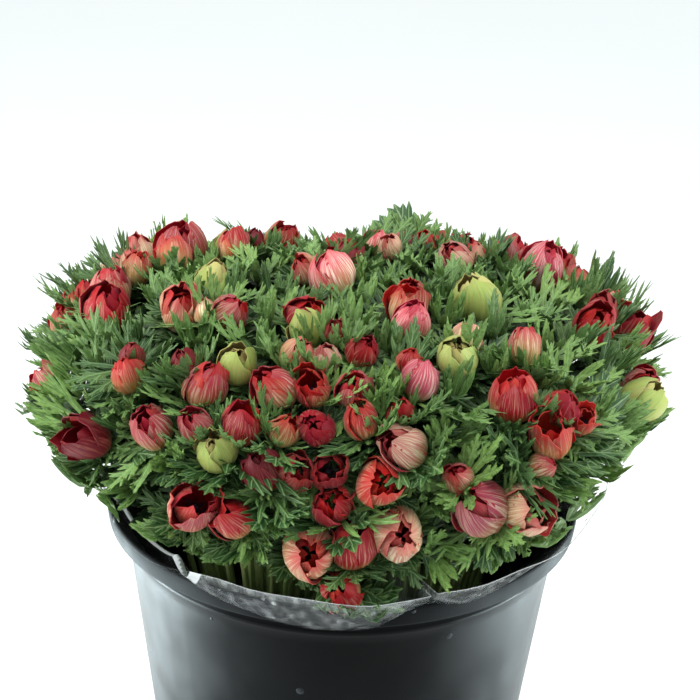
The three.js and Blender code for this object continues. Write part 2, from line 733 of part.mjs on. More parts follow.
anemones.add(named("bucket", bucketGeometry(), materials.bucket));
anemones.add(named("water", waterGeometry(), materials.water));
for (const [side, word] of [
  [-1, "left"],
  [1, "right"],
]) {
  const stems = blooms.filter((bloom) => bloom.sleeve === side).map((bloom) => leafyStem(bloom, blooms));
  const bunch = geometryOf(wasm.Manifold.union([bundleSolid(side), ...stems]));
  anemones.add(named(`leafy_stems_${word}`, bunch, materials.leaf));
  anemones.add(named(`film_sleeve_${word}`, geometryOf(sleeveSolid(side)), materials.film));
}
const clusterCount = CLUSTERS_SHOWN.length + CLUSTERS_BEHIND.length;
for (let node = 0; node < clusterCount; node++) {
  const members = blooms.filter((bloom) => bloom.node === node).map(bloomSolid);
  const name = `blooms_${String(node + 1).padStart(2, "0")}`;
  anemones.add(named(name, geometryOf(wasm.Manifold.union(members)), materials.petal));
}

export default anemones;
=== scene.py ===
"""A florist's bucket of cut anemones in two clear film sleeves: blooms, leaves, stems, film and stage."""

import math

import bpy
import numpy as np
from mathutils import Matrix, Vector


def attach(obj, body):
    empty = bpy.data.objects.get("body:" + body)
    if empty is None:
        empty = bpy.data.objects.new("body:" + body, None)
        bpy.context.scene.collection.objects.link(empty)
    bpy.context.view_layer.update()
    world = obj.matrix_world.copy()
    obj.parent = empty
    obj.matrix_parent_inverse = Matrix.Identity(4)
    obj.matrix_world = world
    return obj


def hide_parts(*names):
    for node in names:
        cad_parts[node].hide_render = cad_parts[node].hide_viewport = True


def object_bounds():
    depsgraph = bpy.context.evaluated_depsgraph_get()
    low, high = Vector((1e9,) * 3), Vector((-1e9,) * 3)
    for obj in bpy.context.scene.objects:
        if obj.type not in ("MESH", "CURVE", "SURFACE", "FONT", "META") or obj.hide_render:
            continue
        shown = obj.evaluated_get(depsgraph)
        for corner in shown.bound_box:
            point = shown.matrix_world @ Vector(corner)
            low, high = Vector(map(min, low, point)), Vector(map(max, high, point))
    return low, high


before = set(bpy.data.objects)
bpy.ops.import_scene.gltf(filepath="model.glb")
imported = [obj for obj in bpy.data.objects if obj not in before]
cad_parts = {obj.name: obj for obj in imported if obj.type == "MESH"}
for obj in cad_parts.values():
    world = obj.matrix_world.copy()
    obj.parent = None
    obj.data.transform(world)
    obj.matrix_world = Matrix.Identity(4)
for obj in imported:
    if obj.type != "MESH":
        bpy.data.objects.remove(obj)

bl_info = {
    "name": "Bucket of anemones",
    "version": (1, 0, 0),
    "blender": (4, 5, 0),
    "location": "View3D > Sidebar > Anemones",
    "description": "Makes the blooms, leaves, stems, film and bucket of a florist's bucket of anemones",
    "category": "Add Mesh",
}

BODY = "root"
CAD_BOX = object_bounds()
MM = 0.001

# How the camera of the photograph stood, and where the centre of the rim shows in it
FRAME_PIXELS = 700
FOCAL_PIXELS = 1700
FRAME_CENTRE = 350
SENSOR_WIDTH = 36
PITCH = math.radians(22.9)
ROLL = math.radians(1.94)
RIM_DISTANCE = 1200
RIM_PIXEL = (342.8, 484.8)

# Bucket and sleeves, in millimetres
BUCKET_HEIGHT = 320
BASE_RADIUS = 116
WALL_TAPER = 0.12
WALL = 2.4
FLOOR = 4
RIM_RADIUS = 165
RIM_DEPTH = 14
RIM_WALL = 3
SHOULDER = BUCKET_HEIGHT - RIM_DEPTH
BUNDLE_X = 58
BUNDLE_RADIUS = 27
BUNDLE_TOP = 195
SLEEVE_FOOT = 118
SLEEVE_FOOT_RADIUS = 33
SLEEVE_GAP = 3
SLEEVE_TURN = math.radians(18)
MOUTH_RADIUS = 147.2
FILM_INSIDE_RIM = 1.1
FILM_OVER_RIM = 0.8
FILM_FRONT_LIFT = 2.2

# A sleeve's free edge: its distance and height, how much more in front and at the loose flap, and its sag
EDGE_OUT, EDGE_OUT_FRONT, EDGE_OUT_FLAP = 178, 12, 7
EDGE_HEIGHT, EDGE_HEIGHT_FRONT, EDGE_HEIGHT_FLAP = 334, 6, 16
EDGE_SAG = 21
FLAP_BEARING, FLAP_WIDTH = -0.25, 0.4

# A sleeve's loop of points follows the rim up to ARC_LAST, and then the gap between the sleeves. Its rows
# are given as lowest level, highest level and count: 2 is the bucket's shoulder, 3 its rim and 5 the edge
LOOP_POINTS = 20
ARC_LAST = 15
EDGE_LEVEL = 5
FILM_COLUMNS = 208
FILM_LEVELS = ((0, 1.9, 8), (1.9, 3, 12), (3, EDGE_LEVEL, 26))

# The domed head of flowers, in millimetres
DOME_HALF_WIDTH = 204
DOME_HALF_DEPTH = 168
DOME_HEIGHT = 104
DOME_FOOT = 372
DOME_SQUARENESS = 2.8
VALLEY_X = -26
VALLEY_WIDTH = 20
VALLEY_DEPTH = 13
UPWARD_LEAN = 0.3
AXIS_JITTER = 0.34
BLOOM_SLENDERNESS = 2.35
CONTACT_LAP = 2.5
LEAF_ROOM = 5

# How the stems bend from the blooms to the neck of their sleeve, and from there into the bundle
NECK_LENGTH = 60
NECK_SHARE = 0.74
NECK_REACH = 128
LOWEST_NECK = 336
NECK_MARGIN = 8
START_SHARE = 0.34
START_REACH = 34
STEM_START = 172
SLEEVE_MIDDLE = 102

# Where leaves may be: the lowest level outside the rim, the far crest, and the leaves that close the head
SKIRT_RADIUS = 186
SKIRT_HEIGHT = 352
SKIRT_SLOPE = 1.45
TUFT_SPACING = 17
TUFT_PLACES_TRIED = 6000
FILLED_BELOW = 452
LINING_COUNT = 14
LINING_HEIGHTS = (386, 416, 444)
HIDDEN_LEVEL = 0.72
INWARD = np.array([0.72, 0.72, 1])
CREST_HEIGHT = 480

# How the blooms stand; a bloom more open than OPEN_CUP stays as the table gives it
OPEN_CUP = 0.85
OPENNESS, GREEN_OPENNESS = 0.78, 0.40
NOD = 0.30
UPRIGHT_LEAST, UPRIGHT_MOST, UPRIGHT_OPEN = 0.25, 1.0, 0.4
CORNER_STILL = 0.7
CORNER_UPRIGHT = 2.2
CORNER_LIFT = 5
CORNER_STRETCH = 0.08
LOWEST_WIDER, LOWEST_TALLER, LOWEST_SHIFT = 1.25, 1.12, (0, -1.5, -2.5)

# The film's folded edge in the photograph: bearing from +X in degrees, and distance in millimetres
FOLD_LINE = ((-179, 196), (-171, 170), (-164, 157), (-150, 154), (-139, 153), (-132, 160), (-126, 170),
             (-119, 185), (-108, 206))
SIDES = ((-1, "left"), (1, "right"))

# Where the random draws of each kind of piece begin; a piece adds its number
BLOOM_SEED, COLLAR_SEED, UNDER_SEED, TUFT_SEED = 900, 3000, 5000, 7000
FILLING_SEED, LINING_SEED, STEM_SEED = 9000, 9500, 11000
FLOWER_SEED, PLACES_SEED, FILM_SEEDS = 5, 77, {-1: 41, 1: 42}

# The blooms that show, in clusters that touch each other: across and down in the pixels of the
# photograph, radius in millimetres, openness from 0, a closed bud, to 1, an open cup, and colour.
CLUSTERS_SHOWN = [
    [(113, 229, 14, 0.2, "blush"), (86, 250, 10, 0, "blush"), (68, 277, 8, 0, "blush")],
    [(164, 236, 17, 0.5, "rose"), (168, 264, 13, 0.6, "crimson")],
    [(120, 266, 11, 0, "blush"), (142, 275, 11, 0.8, "orange")],
    [(112, 290, 14, 0.5, "rose"), (102, 320, 16, 0.5, "crimson")],
    [(56, 301, 9, 0, "crimson"), (76, 309, 11, 0.8, "orange"), (57, 323, 11, 0.4, "orange")],
    [(215, 284, 14, 0.8, "green")],
    [(172, 307, 15, 0.4, "rose"), (207, 314, 8, 0, "blush"), (239, 312, 12, 0.1, "rose")],
    [(207, 236, 11, 0.2, "green"), (236, 251, 12, 0.5, "crimson")],
    [(49, 379, 10, 0.8, "rose")],
    [(127, 380, 11, 0.4, "crimson"), (135, 350, 8, 0, "wine")],
    [(185, 365, 9, 0, "wine"), (212, 390, 14, 0.4, "rose"), (231, 371, 12, 0.7, "green")],
    [(150, 428, 13, 0.7, "rose")],
    [(87, 437, 14, 0.9, "wine")],
    [(206, 422, 10, 0.4, "rose"), (226, 441, 12, 0.7, "green"), (246, 436, 12, 0.8, "crimson")],
    [(187, 503, 15, 1, "rose"), (240, 520, 13, 0.6, "crimson")],
    [(278, 231, 13, 0.6, "orange"), (250, 228, 8, 0, "wine")],
    [(303, 268, 10, 0, "rose"), (331, 277, 16, 0.1, "pink")],
    [(336, 246, 11, 0.5, "crimson"), (348, 262, 12, 0.6, "wine")],
    [(303, 309, 11, 0.7, "crimson"), (309, 341, 12, 0.1, "green"), (332, 333, 9, 0, "wine")],
    [(296, 362, 11, 0.1, "rose"), (322, 378, 9, 0, "blush")],
    [(283, 395, 13, 0.4, "rose"), (319, 390, 11, 0.9, "crimson")],
    [(350, 398, 11, 0.8, "rose"), (343, 415, 11, 0.4, "crimson")],
    [(297, 419, 10, 0.4, "orange"), (316, 407, 11, 0.6, "crimson")],
    [(361, 352, 10, 0.2, "crimson")],
    [(412, 283, 10, 0.4, "orange"), (400, 311, 12, 0.9, "orange"), (414, 335, 12, 0.1, "pink")],
    [(409, 360, 8, 0, "crimson"), (428, 377, 12, 0.1, "pink")],
    [(452, 361, 13, 0, "green"), (463, 343, 10, 0.2, "blush")],
    [(392, 211, 8, 0, "crimson"), (390, 231, 9, 0, "pink"), (401, 258, 9, 0, "blush")],
    [(425, 209, 10, 0.1, "rose"), (446, 217, 9, 0.5, "crimson")],
    [(421, 240, 11, 0.4, "rose"), (445, 245, 10, 0.6, "crimson")],
    [(491, 210, 12, 0.6, "crimson"), (490, 228, 9, 0, "rose")],
    [(453, 258, 12, 0.1, "blush"), (470, 252, 9, 0.7, "blush")],
    [(499, 241, 12, 0.1, "rose"), (516, 252, 14, 0.7, "rose")],
    [(575, 236, 16, 0.4, "pink"), (556, 267, 14, 0.6, "orange"), (589, 268, 10, 0.1, "rose")],
    [(478, 297, 16, 0.7, "green")],
    [(601, 315, 12, 0.4, "wine"), (586, 333, 14, 0.5, "crimson")],
    [(645, 296, 11, 0.3, "blush"), (652, 333, 17, 1, "crimson")],
    [(665, 376, 13, 0.5, "rose"), (641, 407, 14, 0.4, "green")],
    [(523, 348, 11, 0.4, "rose")],
    [(515, 401, 14, 0.7, "crimson")],
    [(581, 421, 8, 0.9, "crimson"), (561, 416, 11, 0.5, "crimson"), (552, 432, 13, 0.9, "crimson"),
     (543, 464, 8, 0, "rose")],
    [(388, 417, 8, 0.2, "crimson"), (402, 445, 14, 0.5, "blush"), (371, 480, 14, 0.6, "crimson")],
    [(272, 464, 12, 0.4, "wine"), (290, 472, 11, 0.6, "wine"), (321, 467, 11, 0.9, "wine"),
     (324, 502, 12, 0.8, "crimson")],
    [(302, 540, 17, 0.15, "rose"), (358, 544, 14, 0.6, "crimson"), (406, 531, 16, 0.2, "blush")],
    [(453, 472, 9, 0.1, "rose"), (480, 512, 17, 0.3, "magenta"), (532, 504, 15, 0.9, "blush")],
    [(341, 586, 10.5, 0.3, "crimson")],
]

# The blooms behind the dome's crest: bearing from +X in degrees, height, radius, openness and colour.
CLUSTERS_BEHIND = [
    [(30, 395, 12, 0.3, "rose"), (37, 425, 13, 0.6, "crimson"), (44, 395, 11, 0.1, "blush")],
    [(58, 388, 13, 0.5, "pink"), (66, 400, 12, 0.2, "green")],
    [(70, 446, 11, 0.2, "rose"), (60, 440, 12, 0.5, "crimson")],
    [(82, 385, 14, 0.7, "orange"), (92, 380, 11, 0.1, "wine")],
    [(86, 440, 12, 0.4, "blush"), (95, 452, 11, 0.6, "crimson")],
    [(104, 415, 13, 0.3, "rose"), (113, 400, 12, 0.5, "magenta")],
    [(124, 380, 12, 0.1, "crimson"), (132, 400, 14, 0.5, "blush")],
    [(143, 425, 12, 0.4, "rose"), (150, 400, 11, 0.6, "wine"), (157, 390, 12, 0.2, "green")],
]


def colour_setting(name, description, default):
    return bpy.props.FloatVectorProperty(
        name=name, description=description, subtype="COLOR", size=3, default=default)


def length_setting(name, description, default):
    return bpy.props.FloatProperty(name=name, description=description, default=default, unit="LENGTH")


def share_setting(name, description, default):
    return bpy.props.FloatProperty(
        name=name, description=description, default=default, min=0, max=1, subtype="FACTOR")


def power_setting(name, description, default):
    return bpy.props.FloatProperty(name=name, description=description, default=default, subtype="POWER")


def count_setting(name, description, default, least=5):
    return bpy.props.IntProperty(name=name, description=description, default=default, min=least)


class BloomSettings(bpy.types.PropertyGroup):
    """Sizes of the petals"""

    thickness: length_setting("Petal thickness", "Thickness of a petal", 0.0005)
    across: count_setting("Columns", "Points across one petal", 9)
    along: count_setting("Rows", "Points from the base to the tip of one petal", 10)


class LeafSettings(bpy.types.PropertyGroup):
    """Sizes and colours of the cut leaves and the stems"""

    length: length_setting("Leaf length", "From the stem to the tip of the middle lobe", 0.042)
    lobe_width: length_setting("Lobe width", "Width that the lobes are made from", 0.0042)
    # Through a low tone, the deep green is also given to the lower and hidden leaves as painted shade
    deep: colour_setting("Deep green", "Colour of the older leaves", (0.018, 0.062, 0.014))
    fresh: colour_setting("Fresh green", "Colour of the young leaves", (0.168, 0.305, 0.076))
    stem_radius: length_setting("Stem radius", "Radius of the thickest stems", 0.0028)
    stem: colour_setting("Stem", "Colour of the stems", (0.200, 0.300, 0.090))


class BucketSettings(bpy.types.PropertyGroup):
    """Size and colour of the bucket"""

    sides: count_setting("Sides", "Facets round the bucket", 128, 24)
    plastic: colour_setting("Plastic", "Colour of the bucket", (0.0007, 0.0010, 0.0012))
    roughness: share_setting("Roughness", "Roughness of the moulded plastic", 0.34)


class FilmSettings(bpy.types.PropertyGroup):
    """Shape and clearness of the film sleeves"""

    crinkle: length_setting("Crinkle", "How far the film's creases stand out", 0.0014)
    clearness: share_setting("Clearness", "Alpha of smooth film", 0.018)
    colour: colour_setting("Film", "Colour of the film", (0.20, 0.23, 0.23))


class StageSettings(bpy.types.PropertyGroup):
    """The floor and the light"""

    floor: colour_setting("Floor", "Colour of the floor", (0.93, 0.95, 0.95))
    key_power: power_setting("Key light", "Power of the large soft light", 20)
    fill_power: power_setting("Side lights", "Power of each light at the sides", 12)
    sheen_power: power_setting("Bucket sheen", "Power of each low light that gives the bucket its sheen", 23)
    backdrop: bpy.props.FloatProperty(
        name="Surroundings", description="Brightness of the white surroundings", default=1.0, min=0)


# Colours of a petal's outside, inside and veins, and the share of it that is still green at its base
FAMILIES = {
    "crimson": ((0.29, 0.013, 0.022), (0.36, 0.003, 0.007), (0.52, 0.25, 0.17), 0.40),
    "wine": ((0.15, 0.010, 0.016), (0.20, 0.002, 0.006), (0.33, 0.11, 0.08), 0.30),
    "rose": ((0.36, 0.075, 0.080), (0.38, 0.005, 0.011), (0.64, 0.46, 0.32), 0.70),
    "pink": ((0.53, 0.120, 0.150), (0.44, 0.018, 0.042), (0.76, 0.54, 0.46), 0.40),
    "blush": ((0.52, 0.27, 0.21), (0.42, 0.035, 0.040), (0.68, 0.62, 0.40), 0.72),
    "orange": ((0.35, 0.080, 0.052), (0.38, 0.008, 0.008), (0.58, 0.42, 0.24), 0.70),
    "magenta": ((0.27, 0.050, 0.075), (0.30, 0.005, 0.022), (0.52, 0.36, 0.27), 0.60),
    "green": ((0.36, 0.46, 0.12), (0.40, 0.32, 0.12), (0.20, 0.30, 0.07), 0.95),
}


class Draw:
    """The seeded draw from 0 to 1 that gives the flowers their lean and turn, the same on every run"""

    def __init__(self, seed=4242):
        self.seed = seed

    def __call__(self):
        self.seed = (self.seed * 16807) % 2147483647
        return self.seed / 2147483647


class Flower:
    """One anemone: where its bloom stands, which way it faces, and its size and colour"""

    def __init__(self, node, radius, openness, family):
        self.node = node
        self.radius = radius
        closing = GREEN_OPENNESS if family == "green" else OPENNESS
        self.open = openness if openness > OPEN_CUP else openness * closing
        self.family = family
        self.height = radius * BLOOM_SLENDERNESS

    def face(self, axis):
        """Turns the bloom to an axis, about its centre"""
        self.axis = axis
        self.side = unit(np.cross([0, 1, 0], axis))
        self.front = np.cross(axis, self.side)
        self.foot = self.centre - axis * self.height / 2

    def aim(self, centre, draw):
        """Sets the bloom's centre, a little lower in the dome's valley, its axis, turn and sleeve"""
        lean = np.array([draw(), draw(), draw()]) - 0.5
        valley = math.exp(-(((centre[0] - VALLEY_X) / VALLEY_WIDTH) ** 2))
        towards_back = min(max(centre[1] / DOME_HALF_DEPTH, 0), 1)
        self.centre = centre - np.array([0, 0, VALLEY_DEPTH * valley * towards_back])
        self.face(unit(dome_normal(centre) + np.array([0, 0, UPWARD_LEAN]) + 2 * AXIS_JITTER * lean))
        self.turn = draw() * 2 * math.pi
        self.sleeve = side_of(self.centre)

    def straighten(self, share, nod):
        """Turns the bloom towards upright, as stems curve up to the light, and lets it nod"""
        corner = corner_share(self.centre)
        self.face(unit(unit(self.axis + np.array([0, 0, share])) + nod))
        self.foot = self.foot + self.axis * CORNER_LIFT * corner
        self.height *= 1 + CORNER_STRETCH * corner

    def place(self, side, front, up):
        """Points given across, to the front and along the bloom's axis from its foot, in millimetres"""
        side, front, up = np.broadcast_arrays(side, front, up)
        return (self.foot + side[..., None] * self.side + front[..., None] * self.front
                + up[..., None] * self.axis)

    def outward(self, bearing):
        """The direction at a bearing round the bloom's axis"""
        return math.cos(bearing) * self.side + math.sin(bearing) * self.front


def unit(v):
    return np.asarray(v, float) / np.linalg.norm(v)


def turned(p, angle):
    """A point turned about +Z"""
    c, s = math.cos(angle), math.sin(angle)
    return np.stack([p[..., 0] * c - p[..., 1] * s, p[..., 0] * s + p[..., 1] * c, p[..., 2]], axis=-1)


def side_of(p):
    """-1 for a point over the left sleeve, and 1 over the right one"""
    return -1 if turned(p, -SLEEVE_TURN)[0] < 0 else 1


def smooth(x, low=0.0, high=1.0):
    """Eases from 0 at low to 1 at high"""
    t = np.clip((x - low) / (high - low), 0, 1)
    return t * t * (3 - 2 * t)


def round_and_out(points):
    """The bearing of points from +X, in radians, and their distance from the bucket's axis"""
    return np.arctan2(points[..., 1], points[..., 0]), np.hypot(points[..., 0], points[..., 1])


def bell(x, middle, width):
    """1 in the middle, and less and less away from it"""
    return np.exp(-(((x - middle) / width) ** 2))


def corner_share(p, front=-40):
    """How far a point stands in the two back corners of the head, where the flowers rise highest"""
    return smooth(abs(p[0]), 95, 165) * smooth(p[1], front, front + 80)


def at_back(p):
    """1 on the middle of the head's far crest, where leaves stay low, and 0 elsewhere"""
    return smooth(p[1], 30, 90) * (1 - corner_share(p, 10)) * smooth(p[2], 430, 460)


def camera_frame():
    """The camera's place in millimetres, and its forward, right and up directions"""
    ahead = np.array([0, math.cos(PITCH), -math.sin(PITCH)])
    level = np.array([1.0, 0, 0])
    above = np.array([0, math.sin(PITCH), math.cos(PITCH)])
    right = level * math.cos(ROLL) + above * math.sin(ROLL)
    up = above * math.cos(ROLL) - level * math.sin(ROLL)
    pixel = RIM_DISTANCE / FOCAL_PIXELS
    place = np.array([0.0, 0, BUCKET_HEIGHT]) - ahead * RIM_DISTANCE
    place -= right * (RIM_PIXEL[0] - FRAME_CENTRE) * pixel
    place -= up * (FRAME_CENTRE - RIM_PIXEL[1]) * pixel
    return place, ahead, right, up


def dome_level(p):
    """Less than 1 inside the dome of flowers, 1 on it and more outside"""
    rise = np.maximum(p[..., 2] - DOME_FOOT, 0) / DOME_HEIGHT
    across = np.abs(p[..., 0]) / DOME_HALF_WIDTH
    deep = np.abs(p[..., 1]) / DOME_HALF_DEPTH
    return across ** DOME_SQUARENESS + deep ** DOME_SQUARENESS + rise ** DOME_SQUARENESS


def onto_dome(p):
    """Moves points in or out from the middle of the dome's foot until they lie on the dome"""
    scale = dome_level(p) ** (-1 / DOME_SQUARENESS)
    above = p[..., 2] > DOME_FOOT
    height = np.where(above, DOME_FOOT + (p[..., 2] - DOME_FOOT) * scale, p[..., 2])
    return np.stack([p[..., 0] * scale, p[..., 1] * scale, height], axis=-1)


def dome_normal(p):
    """The direction that the dome faces at a point on it"""
    n = DOME_SQUARENESS - 1
    rise = max(p[2] - DOME_FOOT, 0)
    return unit([
        math.copysign((abs(p[0]) / DOME_HALF_WIDTH) ** n / DOME_HALF_WIDTH, p[0]),
        math.copysign((abs(p[1]) / DOME_HALF_DEPTH) ** n / DOME_HALF_DEPTH, p[1]),
        (rise / DOME_HEIGHT) ** n / DOME_HEIGHT,
    ])


def on_dome(turn, height):
    """The point of the dome at an angle round it, in radians, and at a height"""
    return onto_dome(np.array([DOME_HALF_WIDTH * math.cos(turn), DOME_HALF_DEPTH * math.sin(turn), height]))


def from_pixel(view, across, down):
    """Where the line of sight through a pixel first meets the dome, or passes nearest to it"""
    before_rim, beyond_rim, step = 400, 300, 0.5
    place, ahead, right, up = view
    sight = ahead + right * (across - FRAME_CENTRE) / FOCAL_PIXELS + up * (FRAME_CENTRE - down) / FOCAL_PIXELS
    reach = np.arange(RIM_DISTANCE - before_rim, RIM_DISTANCE + beyond_rim + step / 2, step)
    points = place + reach[:, None] * sight
    level = dome_level(points)
    inside = np.nonzero(level <= 1)[0]
    first = inside[0] if len(inside) else int(np.argmin(level))
    return onto_dome(points[first])


def settle(home, radius, node):
    """Pushes blooms apart until leaves fit between them, and draws the neighbours of a cluster together"""
    rounds, homing_rounds, homing, pulling = 220, 140, 0.04, 0.22
    count = len(radius)
    first, second = np.triu_indices(count, 1)
    linked = (node[first] == node[second]) & (second == first + 1)
    reach = radius[first] + radius[second]
    wanted = np.where(linked, reach - CONTACT_LAP, reach + LEAF_ROOM)
    centre = home.copy()
    for k in range(rounds):
        apart = centre[second] - centre[first]
        distance = np.linalg.norm(apart, axis=1)
        pull = np.where(linked | (distance < wanted), pulling * (distance - wanted) / distance, 0)
        move = apart * pull[:, None]
        for axis in range(3):
            centre[:, axis] += np.bincount(first, move[:, axis], count)
            centre[:, axis] -= np.bincount(second, move[:, axis], count)
        if k < homing_rounds:
            centre += (home - centre) * homing
        centre = onto_dome(centre)
    return centre


def grow_flowers():
    """Every flower of the bucket in its place on the dome"""
    view = camera_frame()
    flowers, home = [], []
    for node, cluster in enumerate(CLUSTERS_SHOWN):
        for across, down, radius, openness, family in cluster:
            flowers.append(Flower(node, radius, openness, family))
            home.append(from_pixel(view, across, down))
    for node, cluster in enumerate(CLUSTERS_BEHIND, len(CLUSTERS_SHOWN)):
        for bearing, height, radius, openness, family in cluster:
            flowers.append(Flower(node, radius, openness, family))
            home.append(on_dome(math.radians(bearing), height))
    radius = np.array([flower.radius for flower in flowers], float)
    node = np.array([flower.node for flower in flowers])
    draw = Draw()
    chance = np.random.RandomState(FLOWER_SEED)
    for flower, centre in zip(flowers, settle(np.array(home), radius, node)):
        flower.aim(centre, draw)
        corner, closed = corner_share(flower.centre), flower.open < OPEN_CUP
        nod = chance.normal(0, NOD, 3) * (1 - CORNER_STILL * corner) * closed
        upright = chance.uniform(UPRIGHT_LEAST, UPRIGHT_MOST) * (1 if closed else UPRIGHT_OPEN)
        flower.straighten(upright + CORNER_UPRIGHT * corner, nod)
    low = flowers[LOWEST_BLOOM]
    low.radius, low.height = low.radius * LOWEST_WIDER, low.height * LOWEST_TALLER
    low.centre = low.centre + np.array(LOWEST_SHIFT)
    low.foot = low.centre - low.axis * low.height / 2
    return flowers


LOWEST_BLOOM = sum(len(cluster) for cluster in CLUSTERS_SHOWN) - 1
FLOWERS = grow_flowers()


class Mesh:
    """Points in millimetres with quads, triangles and measures for the shaders, made into an object"""

    def __init__(self):
        self.points, self.quads, self.triangles = [], [], []
        self.quad_slots, self.triangle_slots = [], []
        self.measures = {}
        self.count = 0

    def add(self, points, quads=(), triangles=(), slot=0, **measures):
        """Points with their faces, a material slot for the faces, and a measure for each point or for all"""
        points = np.asarray(points, float).reshape(-1, 3)
        quads = np.asarray(quads, int).reshape(-1, 4)
        triangles = np.asarray(triangles, int).reshape(-1, 3)
        self.quads.append(quads + self.count)
        self.triangles.append(triangles + self.count)
        self.quad_slots.append(np.full(len(quads), slot))
        self.triangle_slots.append(np.full(len(triangles), slot))
        self.points.append(points)
        for name, value in measures.items():
            filled = np.broadcast_to(np.asarray(value, float).reshape(-1), (len(points),))
            self.measures.setdefault(name, []).append(filled)
        self.count += len(points)

    def tube(self, path, radius, sides=8, slot=0, **measures):
        """A round tube along a path, with closed ends"""
        path = np.asarray(path, float)
        ahead = np.gradient(path, axis=0)
        ahead /= np.linalg.norm(ahead, axis=1)[:, None]
        across = np.cross(ahead, [0.31, 0.92, 0.24])
        across /= np.linalg.norm(across, axis=1)[:, None]
        upward = np.cross(ahead, across)
        turn = np.arange(sides) * 2 * math.pi / sides
        radius = np.broadcast_to(radius, (len(path),))[:, None, None]
        rings = path[:, None] + radius * (np.cos(turn)[None, :, None] * across[:, None]
                                          + np.sin(turn)[None, :, None] * upward[:, None])
        self.rings(rings, path[0], path[-1], slot, **measures)

    def rings(self, grid, start, end, slot=0, **measures):
        """Rings of points joined into a surface, and closed by a fan to a point at each end"""
        rows, sides = grid.shape[:2]
        side, after = ring_sides(sides)
        last_row, middle = (rows - 1) * sides, rows * sides
        first_fan = np.stack([after, side, np.full(sides, middle)], axis=1)
        last_fan = np.stack([side + last_row, after + last_row, np.full(sides, middle + 1)], axis=1)
        filled = {name: (np.concatenate([np.repeat(value, sides), value[:1], value[-1:]])
                         if np.ndim(value) == 1 else value)
                  for name, value in measures.items()}
        self.add(np.concatenate([grid.reshape(-1, 3), [start, end]]), ring_quads(rows, sides),
                 np.concatenate([first_fan, last_fan]), slot, **filled)

    def object(self, name, materials):
        """The collected mesh as a Blender object that rides on the bucket's one body"""
        points = np.concatenate(self.points) * MM
        quads, triangles = np.concatenate(self.quads), np.concatenate(self.triangles)
        mesh = bpy.data.meshes.new(name)
        mesh.vertices.add(len(points))
        mesh.vertices.foreach_set("co", points.ravel())
        loops = np.concatenate([quads.ravel(), triangles.ravel()])
        mesh.loops.add(len(loops))
        mesh.loops.foreach_set("vertex_index", loops)
        mesh.polygons.add(len(quads) + len(triangles))
        starts = np.concatenate([np.arange(len(quads)) * 4, len(quads) * 4 + np.arange(len(triangles)) * 3])
        mesh.polygons.foreach_set("loop_start", starts)
        mesh.polygons.foreach_set("material_index",
                                  np.concatenate(self.quad_slots + self.triangle_slots))
        mesh.polygons.foreach_set("use_smooth", np.full(len(starts), True))
        for key, values in self.measures.items():
            mesh.attributes.new(key, "FLOAT", "POINT").data.foreach_set("value", np.concatenate(values))
        mesh.update(calc_edges=True)
        mesh.validate()
        for material in materials:
            mesh.materials.append(material)
        made = bpy.data.objects.new(name, mesh)
        bpy.context.scene.collection.objects.link(made)
        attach(made, BODY)
        return made


def grid_quads(rows, columns):
    """The quads of an open grid of points, row by row"""
    corner = (np.arange(rows - 1)[:, None] * columns + np.arange(columns - 1)).ravel()
    return np.stack([corner, corner + 1, corner + columns + 1, corner + columns], axis=1)


def ring_quads(rows, sides):
    """The quads of a grid whose rows close on themselves"""
    row = np.arange(rows - 1)[:, None] * sides
    side, after = ring_sides(sides)
    quads = np.stack([row + side, row + after, row + sides + after, row + sides + side], axis=-1)
    return quads.reshape(-1, 4)


def ring_sides(sides):
    """The points of a ring, and the point after each"""
    side = np.arange(sides)
    return side, np.roll(side, -1)


def grid_normals(grid):
    """Unit normals of a grid of points, facing to the right-hand side of across and along"""
    along = np.gradient(grid, axis=0)
    across = np.gradient(grid, axis=1)
    normal = np.cross(across, along)
    length = np.linalg.norm(normal, axis=-1, keepdims=True)
    return normal / np.maximum(length, 1e-9)


def add_sheet(mesh, grid, thickness, slot=0, **measures):
    """A grid of points as a thin closed sheet: its outer face as given, its inner face and its edge"""
    rows, columns = grid.shape[:2]
    inner = grid - grid_normals(grid) * thickness
    quads = grid_quads(rows, columns)
    count = rows * columns
    edge = np.concatenate([
        np.arange(columns - 1),
        np.arange(columns - 1, count - 1, columns),
        np.arange(count - 1, count - columns, -1),
        np.arange(count - columns, 0, -columns),
    ])
    after = np.roll(edge, -1)
    rim = np.stack([edge, edge + count, after + count, after], axis=1)
    faces = np.concatenate([quads, quads[:, ::-1] + count, rim])
    doubled = {name: np.tile(np.broadcast_to(value, (rows, columns)).ravel(), 2)
               for name, value in measures.items()}
    doubled["inside"] = np.repeat([0.0, 1.0], count)
    mesh.add(np.concatenate([grid.reshape(-1, 3), inner.reshape(-1, 3)]), faces, slot=slot, **doubled)


